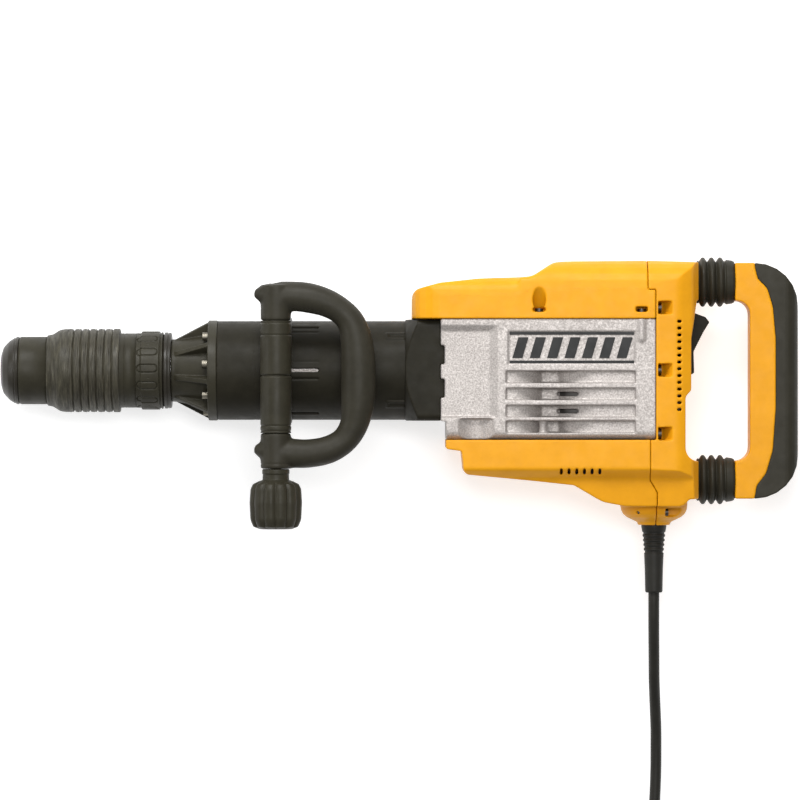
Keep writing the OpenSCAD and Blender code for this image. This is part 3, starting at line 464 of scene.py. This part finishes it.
def soften(thing, rounds, weight):
    """Smooths a mesh further where weight(x, y, z) says, to melt one form into the next."""
    group = thing.vertex_groups.new(name="soft")
    for i, w in enumerate(weight(*own_points(thing).T)):
        if w > 0.01:
            group.add([i], float(w), "REPLACE")
    modifier = thing.modifiers.new("melt", "SMOOTH")
    modifier.factor = 0.5
    modifier.iterations = rounds
    modifier.vertex_group = "soft"
    apply_modifiers(thing)
    thing.vertex_groups.clear()


def between(v, low, high, edge):
    """1 inside low to high, falling to 0 over edge on both sides."""
    return np.clip(np.minimum(v - low, high - v) / edge + 1, 0, 1)


def moulding(node, voxel, rounds):
    return dressed(remeshed(copied(node), voxel, rounds), BODY_OF[node], SLOT_OF[node], node)


def groove(thing, places, width, depth, least):
    """Presses thin rings into what stands round the clamp bolt, where its radius is at least least."""
    points = own_points(thing)
    away = points[:, (0, 2)] - np.array((CLAMP_X, CLAMP_Z))
    radius = np.linalg.norm(away, axis=1)
    sink = np.zeros(len(points))
    for place in places:
        near = np.clip(1 - np.abs(points[:, 1] - place) / (width / 2), 0, 1)
        sink = np.maximum(sink, depth * near * near * (3 - 2 * near))
    sink[radius < least] = 0
    points[:, (0, 2)] -= away / np.maximum(radius, 1e-6)[:, None] * sink[:, None]
    thing.data.vertices.foreach_set("co", (points * MM + np.array(ORIGIN)).ravel())
    thing.data.update()


def spline_points(route, step=6.0):
    """Points step apart on one smooth curve through the route."""
    p = [Vector(q) for q in route]
    ends = [p[0] * 2 - p[1]] + p + [p[-1] * 2 - p[-2]]
    line = []
    for i in range(len(p) - 1):
        a, b, c, d = ends[i:i + 4]
        count = max(1, round((c - b).length / step))
        for k in range(count):
            t = k / count
            line.append(0.5 * (2 * b + (c - a) * t + (2 * a - 5 * b + 4 * c - d) * t ** 2
                               + (3 * b - a - 3 * c + d) * t ** 3))
    return line + [p[-1]]


def curve_object(name, points, radius, resolution):
    data = bpy.data.curves.new(name, "CURVE")
    data.dimensions = "3D"
    data.bevel_depth = radius * MM
    data.bevel_resolution = resolution
    data.use_fill_caps = True
    spline = data.splines.new("POLY")
    spline.points.add(len(points) - 1)
    for target, p in zip(spline.points, points):
        target.co = (*at(*p), 1)
    spline.use_smooth = True
    return linked(name, data)


def joined(name, things):
    """One object from several meshes."""
    bm = bmesh.new()
    for thing in things:
        mesh = bpy.data.meshes.new_from_object(thing.evaluated_get(bpy.context.evaluated_depsgraph_get()))
        bm.from_mesh(mesh)
        bpy.data.objects.remove(thing)
    mesh = bpy.data.meshes.new(name)
    bm.to_mesh(mesh)
    bm.free()
    return linked(name, mesh)


def bevelled(thing, width):
    modifier = thing.modifiers.new("edges", "BEVEL")
    modifier.width = width * MM
    modifier.segments = 2
    modifier.limit_method = "ANGLE"
    modifier.angle_limit = math.radians(35)
    return thing


def tube(name, path, radii):
    """A closed round bar through the points, with a radius at each."""
    points, last = [], len(path) - 1
    for i, (p, r) in enumerate(zip(path, radii)):
        along = (path[min(i + 1, last)] - path[max(i - 1, 0)]).normalized()
        across = along.cross(Vector((0, 0, 1))).normalized() if abs(along.z) < 0.9 else Vector((1, 0, 0))
        up = across.cross(along)
        points += [at(*(p + r * (math.cos(a) * across + math.sin(a) * up)))
                   for a in (2 * math.pi * k / TUBE_SIDES for k in range(TUBE_SIDES))]
    return mesh_object(name, points, skin(len(path), TUBE_SIDES))


# ---- cord ----

CORD_DIAMETER = 10.5
EXIT_X = 242.4
LEAD_ROUTE = [(EXIT_X, -138, 0), (EXIT_X, -160, 0), (EXIT_X, -185, 0), (EXIT_X, -210, 0), (EXIT_X, -228, -1),
              (242.6, -246, -5), (243, -262, -11), (243.5, -279, -19), (244, -296, -27), (245, -313, -36),
              (246, -330, -43), (246.8, -346, -49), (247, -363, -53), (247, -381, -54.6), (246.5, -400, -54.7),
              (245.5, -420, -54.5), (244, -440, -54), (242.6, -458, -53.6), (241.9, -486, -53.5)]
TAIL_ROUTE = [(111, -566, -22), (99, -559, -24.5), (87, -551, -29), (75, -543, -34.5), (63, -535, -40),
              (51, -527, -45), (39, -519, -48.5), (27, -511, -50.5), (16, -503.7, -51)]
COIL_CENTRE = (169, -515)
COIL_RADIUS = 72.7  # of the outermost column of turns
COIL_PITCH = 10.7  # from turn to turn, across and up
COIL_FIRST_LAYER = -53.45
COIL_END = 3728  # degrees wound
# (degrees wound, column, layer) at the end of each step over or up
COIL_STEPS = [(216, 1, 0), (576, 2, 0), (900, 2, 1), (1224, 1, 1), (1584, 0, 1), (1908, 0, 2), (2232, 1, 2),
              (2592, 2, 2), (2916, 2, 3), (3240, 1, 3), (3600, 0, 3)]
STEP_ANGLE = 36  # degrees that a step takes
COIL_GRAIN = 6  # degrees between two points of the coil
TIE_ANGLE = 90
PLUG_ANGLE = 146.3


def coil_point(wound):
    """Turns beside and on each other: each layer runs in or out, then the cord steps up to the next."""
    column, layer = 0.0, 0.0
    for end, to_column, to_layer in COIL_STEPS:
        t = min(max((wound - end + STEP_ANGLE) / STEP_ANGLE, 0), 1)
        if t <= 0:
            break
        t = t * t * (3 - 2 * t)
        column += (to_column - column) * t
        layer += (to_layer - layer) * t
    radius = COIL_RADIUS - COIL_PITCH * column
    angle = math.radians(-wound)
    return (COIL_CENTRE[0] + radius * math.cos(angle), COIL_CENTRE[1] + radius * math.sin(angle),
            COIL_FIRST_LAYER + COIL_PITCH * layer)


def make_cord():
    lead = spline_points(LEAD_ROUTE + [coil_point(0)])
    turns = [Vector(coil_point(a)) for a in range(COIL_GRAIN, COIL_END, COIL_GRAIN)]
    tail = spline_points([coil_point(COIL_END - COIL_GRAIN), coil_point(COIL_END)] + TAIL_ROUTE)
    cord = curve_object("mains_cord", lead + turns + tail[1:], CORD_DIAMETER / 2, 5)
    dressed(cord, "housing", "cord_rubber", "cord_lead", "cord_coil", "cord_tail")
    guard = make_guard()
    tie = make_tie()
    plug, pins = make_plug()


def make_guard():
    """Moulded strain relief: tapered, with shallow flexing rings towards its end."""
    rings, first_ring, ring_pitch = [], -173.0, 4.4
    for i in range(5):
        y = first_ring + i * ring_pitch
        r = 9.5 + (y - first_ring) * 0.085
        rings += [(y - 1.4, r - 0.12, 0.4), (y - 0.7, r - 0.9, 0.4),
                  (y + 0.7, r - 0.85, 0.4), (y + 1.4, r + 0.12, 0.4)]
    profile = [(-134, 5.45, 0), (-212, 5.45, 0), (-212, 7.6, 0.8), (-210.6, 8.3, 1), (-190, 8.7, 12)] + rings
    profile += [(-149.4, 12.0, 1), (-137.4, 12.1, 0), (-137.4, 16, 0), (-134, 16, 0)]
    guard = turned("cord_guard_sleeve", fillet(profile, 4), "Y", (EXIT_X, 0, 0), 72)
    return dressed(guard, "housing", "cord_rubber", "cord_guard")


def make_tie():
    """Hook-and-loop strap round the coil, its end lapped over itself on the outside."""
    thick, half_width, corner = 1.1, 9, 5
    half, slack = 16.25, 5.4  # of the coil's section, from the middle of its cords
    low = COIL_FIRST_LAYER - slack
    high = COIL_FIRST_LAYER + 3 * COIL_PITCH + slack
    middle_z = (low + high) / 2
    path = fillet([(half, middle_z, 0), (half, high, corner), (-half, high, corner), (-half, low, corner),
                   (half, low, corner), (half, middle_z, 0)])
    lap = [Vector((half + 1.25, middle_z)), Vector((half + 1.25, high - 9))]
    mean = COIL_RADIUS - COIL_PITCH
    points, faces = [], []
    wide = [-half_width, -8.2, -4, 0, 4, 8.2, half_width]
    n = len(wide)
    ring = list(range(n)) + [2 * n - 1 - k for k in range(n)]

    def add_strip(line):
        first = len(points)
        for i, q in enumerate(line):
            along = (line[min(i + 1, len(line) - 1)] - line[max(i - 1, 0)]).normalized()
            out = Vector((along.y, -along.x))
            for side in (0, 1):
                p = q + out * thick * side
                for s in wide:
                    eased = (0.3 if abs(s) == half_width else 0) * (1 if side else -1)
                    r = mean + p.x - out.x * eased
                    angle = math.radians(TIE_ANGLE) + s / mean
                    x, y = COIL_CENTRE[0] + r * math.cos(angle), COIL_CENTRE[1] + r * math.sin(angle)
                    points.append(at(x, y, p.y - out.y * eased))
        for i in range(len(line) - 1):
            a, b = first + i * 2 * n, first + (i + 1) * 2 * n
            for k in range(2 * n):
                m = (k + 1) % (2 * n)
                faces.append((a + ring[k], a + ring[m], b + ring[m], b + ring[k]))
        for i in (0, len(line) - 1):
            faces.append(tuple(first + i * 2 * n + k for k in ring))

    add_strip(path[::-1])
    add_strip(lap)
    return dressed(mesh_object("coil_strap", points, faces), "housing", "tie_fabric", "coil_tie")


def make_plug():
    """Flat two-pin plug: a moulded body with a waist to hold, a ribbed neck and two blade pins."""
    turn = Matrix.Rotation(math.radians(PLUG_ANGLE), 4, "Z")
    base = Vector((TAIL_ROUTE[-1][0], TAIL_ROUTE[-1][1], FLOOR + 9))
    # distance along the plug, half width, half height, squareness
    sections = [(0, 5.4, 5.4, 1), (0, 7, 7, 1), (1, 7.4, 7.4, 1)]
    for i in range(3):
        x = 3 + 4 * i
        sections += [(x, 7.4, 7.4, 1), (x + 0.4, 6.6, 6.6, 1), (x + 1.6, 6.6, 6.6, 1), (x + 2, 7.4, 7.4, 1)]
    sections += [(14, 8, 7.6, 0.9), (18, 9.6, 8.2, 0.75), (23, 11.4, 8.8, 0.6), (28, 12.4, 9, 0.5),
                 (34, 12.2, 8.8, 0.45), (40, 12.0, 8.7, 0.42), (46, 12.5, 8.9, 0.4), (49, 13, 9, 0.4),
                 (51, 13, 9, 0.4), (52, 12.2, 8.3, 0.4)]
    points, count = [], 56
    for x, half_w, half_h, power in sections:
        for k in range(count):
            a = 2 * math.pi * k / count
            c, s = math.cos(a), math.sin(a)
            local = Vector((x, half_w * math.copysign(abs(c) ** power, c),
                            half_h * math.copysign(abs(s) ** power, s)))
            points.append(at(*(base + turn @ local)))
    faces = skin(len(sections), count)
    body = dressed(mesh_object("plug_body", points, faces), "housing", "cord_rubber", "plug")
    blades = []
    outline = fillet([(50, 0, 0), (50, 3.2, 0), (69, 3.2, 2.6), (69, -3.2, 2.6), (50, -3.2, 0), (50, 0, 0)],
                     5)[:-1]
    for middle_y in (-6.35, 6.35):
        corners = [at(*(base + turn @ Vector((a, c, b))))
                   for c in (middle_y - 0.75, middle_y + 0.75) for a, b in outline]
        blades.append(mesh_object("blade", corners, skin(2, len(outline)), smooth=False))
    pins = bevelled(joined("plug_pins", blades), 0.25)
    pins.data.materials.append(MATERIALS["pin_brass"])
    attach(pins, "housing")
    return body, pins


# ---- chuck ----

def make_dust_cap():
    profile = fillet([(-363.3, HOLDER_RADIUS, 0), (-372.2, HOLDER_RADIUS, 0), (-372.2, 9.8, 0),
                      (-379.6, 9.8, 0.8), (-380.4, 11, 0.8), (-380.4, 15, 4), (-378.2, 22.2, 8),
                      (-372.6, 28.2, 9), (-367.6, 31.3, 1.2), (-366.6, 30.9, 0.5), (-365.9, 32.1, 0.5),
                      (-363.9, 32.3, 0.5), (-363.3, 31.7, 0)])
    dressed(turned("dust_cap_dome", profile), "tool_holder", "nose_rubber", "dust_cap")


def make_nose_bush():
    profile = fillet([(-362.6, HOLDER_RADIUS, 0), (-345, HOLDER_RADIUS, 0), (-345, 29.6, 0),
                      (-326, 29.6, 0), (-326, 32.3, 0), (-361.4, 32.3, 1.2), (-363.1, 31.3, 0.5),
                      (-363.1, HOLDER_RADIUS, 0)])
    dressed(turned("nose_bush_sleeve", profile), "tool_holder", SLOT_OF["nose_bush"], "nose_bush",
            material="front_casting")


def make_lock_sleeve():
    """Hand sleeve with moulded grip ridges that wander a little round it."""
    front, back = -336.2, -266.7
    first, last, pitch = -318.0, -272.4, 7.4
    inner = [(front, 32.9), (-322, 32.9), (-322, 36), (back, 36)]
    shoulder = fillet([(back, 36.4, 0), (back, 39.9, 1.4), (-271.4, 39.9, 0)], 5)
    ridges = [(last - i * 0.3, 39.9) for i in range(int((last - first) / 0.3))]
    nose = fillet([(first - 0.4, 39.7, 0), (-324, 39.0, 10), (-331, 34.6, 7), (front + 0.6, 33.7, 0.8),
                   (front, 33.3, 0)], 7)

    def shape(x, r, angle):
        if not first <= x <= last or r < 39:
            return x, r
        wander = 0.14 * math.sin(5 * angle + 0.4 * x) + 0.12 * math.sin(13 * angle + 0.9 * x)
        u = (x - first + wander) / pitch
        deep = (0.5 + 0.5 * math.cos(2 * math.pi * u)) ** 16
        fine = (0.5 + 0.5 * math.cos(2 * math.pi * (u + 0.36 + 0.03 * math.sin(9 * angle + x)))) ** 40
        other = (0.5 + 0.5 * math.cos(2 * math.pi * (u + 0.62 + 0.03 * math.sin(7 * angle)))) ** 40
        ends = min(1, (x - first) / 2.5, (last - x) / 1.2)
        swell = 0.5 * (0.5 + 0.5 * math.cos(2 * math.pi * u))
        broken = 0.5 + 0.5 * math.sin(6 * angle + 1.7 * x), 0.5 + 0.5 * math.sin(11 * angle + 2.3 * x)
        return x, r - ends * (1.5 * deep + swell + 0.6 * fine * broken[0] + 0.5 * other * broken[1])

    sleeve = turned("lock_sleeve_grip", inner + shoulder + ridges + nose, segments=260, shape=shape)
    # the sleeve's lighter streaks round the axis are painted highlight lines
    dressed(sleeve, "lock_sleeve", "front_casting", "lock_sleeve", material="highlight_streaked_casting")


def make_chuck_body():
    profile = fillet([(-285, HOLDER_RADIUS, 0), (-255, HOLDER_RADIUS, 0), (-255, 22.1, 0),
                      (-251.1, 22.1, 0), (-251.1, 35.5, 0), (-262, 35.5, 0), (-262.5, 35.1, 0.3),
                      (-263, 35.5, 0), (-284, 35.5, 0.8), (-285, 34.6, 0.4), (-285, HOLDER_RADIUS, 0)], 4)[:-1]
    dressed(turned("chuck_barrel", profile), "tool_holder", "front_casting", "chuck_body")


PADS = 14
PAD_FIRST = 2.6  # degrees above the middle of the view side


def make_index_collar():
    """Indexing collar with a ring of finger pads, each outlined by a racetrack groove, and a few studs."""
    back = [(-225.8, 22.1), (-225.8, 34.6)]
    rise = [(x, 37.4) for x in np.arange(-226.0, -250.8, -0.42)]
    front = [(-250.9, 35.4), (-250.9, 22.1)]

    def shape(x, r, angle):
        if r < 37:
            return x, r
        past_first = math.degrees(math.pi / 2 - angle) - PAD_FIRST
        beside = (past_first + 180 / PADS) % (360 / PADS) - 180 / PADS
        across = math.radians(beside) * 37.2
        base = 35.6 + 1.8 * min(max((x + 247.0) / 1.2, 0), 1) - 0.9 * min(max((x + 229.2) / 0.9, 0), 1)
        base -= 1.1 * max(0, 1 - abs(x + 228.2) / 0.9)
        run = max(abs(x + 240.2) - 6.0, 0)
        away = abs(math.hypot(run, across) - 3.7)
        sunk = max(0, 1 - away / 0.85)
        studded = int(past_first // (360 / PADS)) % 2
        stud = max(0, 1 - math.hypot(x + 238.8, across - 8.3) / 1.5) if studded else 0
        return x, base - 1.3 * sunk * sunk * (3 - 2 * sunk) - 0.5 * stud

    collar = turned("index_collar_ring", back + rise + front, segments=PADS * 38, shape=shape)
    dressed(collar, "tool_holder", "front_casting", "index_collar")


def make_seal_ring():
    profile = fillet([(-218, 22.3, 0), (-225.7, 22.3, 0), (-225.7, 34.2, 0), (-224.6, 34.6, 0.3),
                      (-224.2, 36.4, 0.5), (-221.6, 36.4, 0.4), (-221.1, 35.6, 0.3), (-220.5, 35.6, 0.3),
                      (-220.1, 36.2, 0.4), (-218.6, 36, 0.6), (-217.8, 35.2, 0), (-217.8, 22.3, 0)], 4)[:-1]
    dressed(turned("seal_lip", profile), "housing", SLOT_OF["seal_ring"], "seal_ring")


# ---- loop handle and clamp ----

CLAMP_X, CLAMP_Z = -117, 66  # of the clamp bolt, which runs along Y
POSTS = ((46.4, 80.4), (-93, -59.3))  # the loop's two sleeves on the bolt, from Y to Y
LUG_Y = (71.5, -75.5)


def make_clamp():
    saddles = remeshed(copied("clamp_saddles"), 0.7, 4)
    groove(saddles, (33, 44.6, -52.5, -57.4), width=2.0, depth=0.8, least=13.4)
    groove(saddles, (-5.2,), width=2.8, depth=1.8, least=12)
    dressed(saddles, "clamp", SLOT_OF["clamp_saddles"], "clamp_saddles", material="front_casting")
    moulding("clamp_band", 0.7, 2)


# centre line of the loop from the upper post round to the lower one: x, y and the bar's radius there
LOOP_LINE = [(-118, 69.6, 14), (-98, 69.4, 14.1), (-84, 67.6, 14.2), (-68.5, 63, 13.3), (-55.2, 55.2, 12.6),
             (-46, 44.5, 13.3), (-41, 28, 15.2), (-39.3, 5, 16.4), (-39.3, -15, 16.4), (-40.3, -36, 15.3),
             (-44, -53, 13.3), (-53, -66.5, 12.6), (-68, -75.2, 13.2), (-86, -78.6, 13.5), (-100, -78.5, 13.8),
             (-118, -78, 14)]


def bolt_point(y, x=0.0):
    """A point on the clamp bolt's axis, or x beside it."""
    return Vector((CLAMP_X + x, y, CLAMP_Z))


def make_loop():
    """Rubber-covered loop: one bar that swells into the grip, grown out of two posts on the clamp bolt."""
    line = spline_points(LOOP_LINE, 3.0)
    things = [tube("bar", [Vector((p.x, p.y, CLAMP_Z)) for p in line], [p.z for p in line])]
    things += [tube("post", [bolt_point(a), bolt_point((a + b) / 2), bolt_point(b)], [14.4] * 3)
               for a, b in POSTS]
    things += [tube("lug", [bolt_point(y), bolt_point(y, -13), bolt_point(y + 1, -20.5)], [11.5, 9, 3.4])
               for y in LUG_Y]
    loop = remeshed(joined("loop_handle_bar", things), 1.0, 26)
    for y0, y1 in ((-96, -86), (40, 84)):
        carve(loop, tube("drill", [bolt_point(y0), bolt_point(y1)], [5.4] * 2))
    groove(loop, (-88.5,), width=1.8, depth=0.5, least=12.5)
    dressed(loop, "loop", SLOT_OF["loop_handle"], "loop_handle")


def make_knob():
    """Barrel-shaped hand knob with rounded lobes, and the collar that it seats on."""
    profile = fillet([(-93.3, 5.1, 0), (-139, 5.1, 0), (-139, 0.4, 0), (-149.2, 0.4, 0), (-149.9, 15, 3),
                      (-147.6, 21.6, 3), (-141, 24.4, 12), (-125, 25.2, 20), (-112, 24.3, 8), (-107.4, 22, 3),
                      (-104.6, 16, 1), (-103.6, 12.6, 1), (-98, 12.4, 0), (-97.6, 12.9, 0.3), (-94, 12.9, 0.8),
                      (-93.3, 12.2, 0)], 7)
    dense, lobes = [], 12
    for a, b in zip(profile, profile[1:]):
        count = max(1, round((b - a).length / 1.2))
        dense += [a.lerp(b, k / count) for k in range(count)]
    dense.append(profile[-1])

    def shape(y, r, angle):
        if r < 17 or not -150 < y < -104.6:
            return y, r
        wave = abs(math.sin(lobes * angle / 2))
        ends = min(1, (y + 150.5) / 4, (-104 - y) / 4)
        return y, r - 2.6 * ends * (1 - wave) ** 1.5 * min(1, (r - 16) / 4)

    knob = turned("clamp_knob_grip", dense, "Y", (CLAMP_X, 0, CLAMP_Z), 288, shape)
    dressed(knob, "knob", SLOT_OF["clamp_knob"], "clamp_knob", material="front_casting")


# ---- rear handle ----

ARM_Y = (84.4, -104.2)
ARM_FRONT, BOW_FRONT = 283.2, 319.0
BELLOWS_PEAKS = (289.0, 297.2, 305.4)


def fold_with_handle(thing):
    """Bakes a piece's placement into its mesh; it is not squashed as the handle is pressed in."""
    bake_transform(thing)


def make_bellows():
    """Rubber boots over the sprung handle mounts."""
    things = []
    for y in ARM_Y:
        outside = [(ARM_FRONT + 0.1, 19.8, 0), (ARM_FRONT + 1.6, 20.6, 0.8)]
        for peak in BELLOWS_PEAKS:
            outside += [(peak - 3.9, 19.4, 1.0), (peak, 25.6, 2.6), (peak + 3.9, 19.4, 1.0)]
        outside += [(311.4, 21.4, 1.2), (316.8, 20.6, 1.5), (BOW_FRONT - 0.1, 19.4, 0)]
        profile = fillet([(BOW_FRONT - 0.1, 17, 0), (ARM_FRONT + 0.1, 17, 0)] + outside, 6)
        things.append(turned("boot", profile, "X", (0, y, 0), 120))
    boots = joined("handle_boots", things)
    dressed(boots, None, SLOT_OF["handle_bellows"], "handle_bellows")
    fold_with_handle(boots)


def spring_coil(x0, x1, y, radius, wire, turns):
    """A coil spring from x0 to x1; wire is the wire's radius."""
    a_turn = 24
    steps = turns * a_turn
    points = [(x0 + wire + (x1 - x0 - 2 * wire) * k / steps, y + radius * math.cos(2 * math.pi * k / a_turn),
               radius * math.sin(2 * math.pi * k / a_turn)) for k in range(steps + 1)]
    return curve_object("coil", points, wire, 3)


def make_springs():
    coils = [spring_coil(ARM_FRONT + 0.1, BOW_FRONT - 0.1, y, 11, 1.6, 5) for y in ARM_Y]
    pair = dressed(joined("handle_return_springs", coils), None, "spring_steel", "handle_springs")
    fold_with_handle(pair)
    lock = joined("lock_return_spring", [spring_coil(-301.4, -285.1, 0, 26, 0.9, 3)])
    dressed(lock, None, "spring_steel", "lock_spring")
    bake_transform(lock)


# ---- case ----

def rectangle(x0, y0, x1, y1):
    return [(x0, y0), (x1, y0), (x1, y1), (x0, y1)]


def plate(outline, low, high):
    """A flat outline with slightly rounded corners, pushed along Z."""
    corners = [(a, b, 0.5) for a, b in outline]
    start = ((corners[0][0] + corners[-1][0]) / 2, (corners[0][1] + corners[-1][1]) / 2, 0)
    line = fillet([start] + corners + [start], 3)[:-1]
    points = [at(a, b, c) for c in (low, high) for a, b in line]
    return mesh_object("bar", points, skin(2, len(line)), smooth=False)


def make_case_panel():
    """Black printed panel in the shallow recess: two rules and a row of slanted bars, on both sides."""
    recess_floor = CASE_HALF - 1.6
    outlines = [rectangle(103.4, 33.4, 221, 36.1), rectangle(103.4, 6.4, 221, 9.1)]
    for i in range(7):
        x = 106 + 16.4 * i
        outlines.append([(x, 11.4), (x + 9.6, 11.4), (x + 15.4, 31.1), (x + 5.8, 31.1)])
    bars = []
    for side in (1, -1):
        low, high = sorted((side * (recess_floor + 0.02), side * (recess_floor + 0.75)))
        bars += [plate(outline, low, high) for outline in outlines]
    panel = bevelled(joined("case_panel", bars), 0.15)
    panel.data.materials.append(MATERIALS["printed_black"])
    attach(panel, "housing")


def hood_step(x, y, z):
    """Where the top hood's step is melted down, sparing its middle screw pocket."""
    pocket = between(x, 122, 141, 3) * between(y, 50, 78, 3)
    return between(x, 100, 154, 10) * between(y, 76, 140, 8) * (1 - pocket)


def make_mouldings():
    moulding("crankcase", 0.9, 3)
    soften(moulding("top_hood", 0.9, 6), 90, hood_step)
    moulding("bottom_hood", 0.9, 4)
    moulding("rear_housing", 0.8, 4)
    moulding("barrel_collar", 0.8, 3)
    moulding("barrel_sleeve", 0.85, 2)
    moulding("front_housing", 0.6, 3)
    shells = moulding("handle_shells", 0.8, 8)
    for y in ARM_Y:  # the guide rods run freely in them
        carve(shells, turned("rod_hole", [(309, 0), (309, 5.7), (347, 5.7), (347, 0)], "X", (0, y, 0)))
    moulding("handle_grip", 0.7, 3)
    moulding("rocker_switch", 0.5, 4)


# the CAD pieces that show as they are, by the width of the bevel that their edges get
CRISP = {
    0.3: ("front_screws", "case_screws", "lock_cam", "cylinder_liner", "shaft_bearings", "commutator",
          "cooling_fan", "crank_pin"),
    0.4: ("holder_tube", "clamp_bolt", "handle_rods", "piston", "ram", "bolt_guide"),
    0.5: ("crankshaft", "impact_bolt", "motor_stator", "brush_bracket", "switch_module"),
    0.6: ("connecting_rod",),
    1.0: ("gear_cover",),
}


def finish_cad_nodes():
    for node, thing in frame["nodes"].items():
        # the clamp bolt gets the black screw finish as painted shade, so that the thin gaps it shows through
        # beside the saddles, the loop's posts and the knob stay dark
        material = "screw_black" if node in ("case_screws", "clamp_bolt") else SLOT_OF[node]
        thing.data.materials.clear()
        thing.data.materials.append(MATERIALS[material])
    for width, nodes in CRISP.items():
        for node in nodes:
            bevelled(frame["nodes"][node], width)


# ---- the whole tool ----

MATERIALS = make_materials()
add_camera()
add_surroundings()
add_floor()
make_cord()
finish_cad_nodes()
make_dust_cap()
make_nose_bush()
make_lock_sleeve()
make_chuck_body()
make_index_collar()
make_seal_ring()
make_clamp()
make_loop()
make_knob()
make_bellows()
make_springs()
make_case_panel()
make_mouldings()
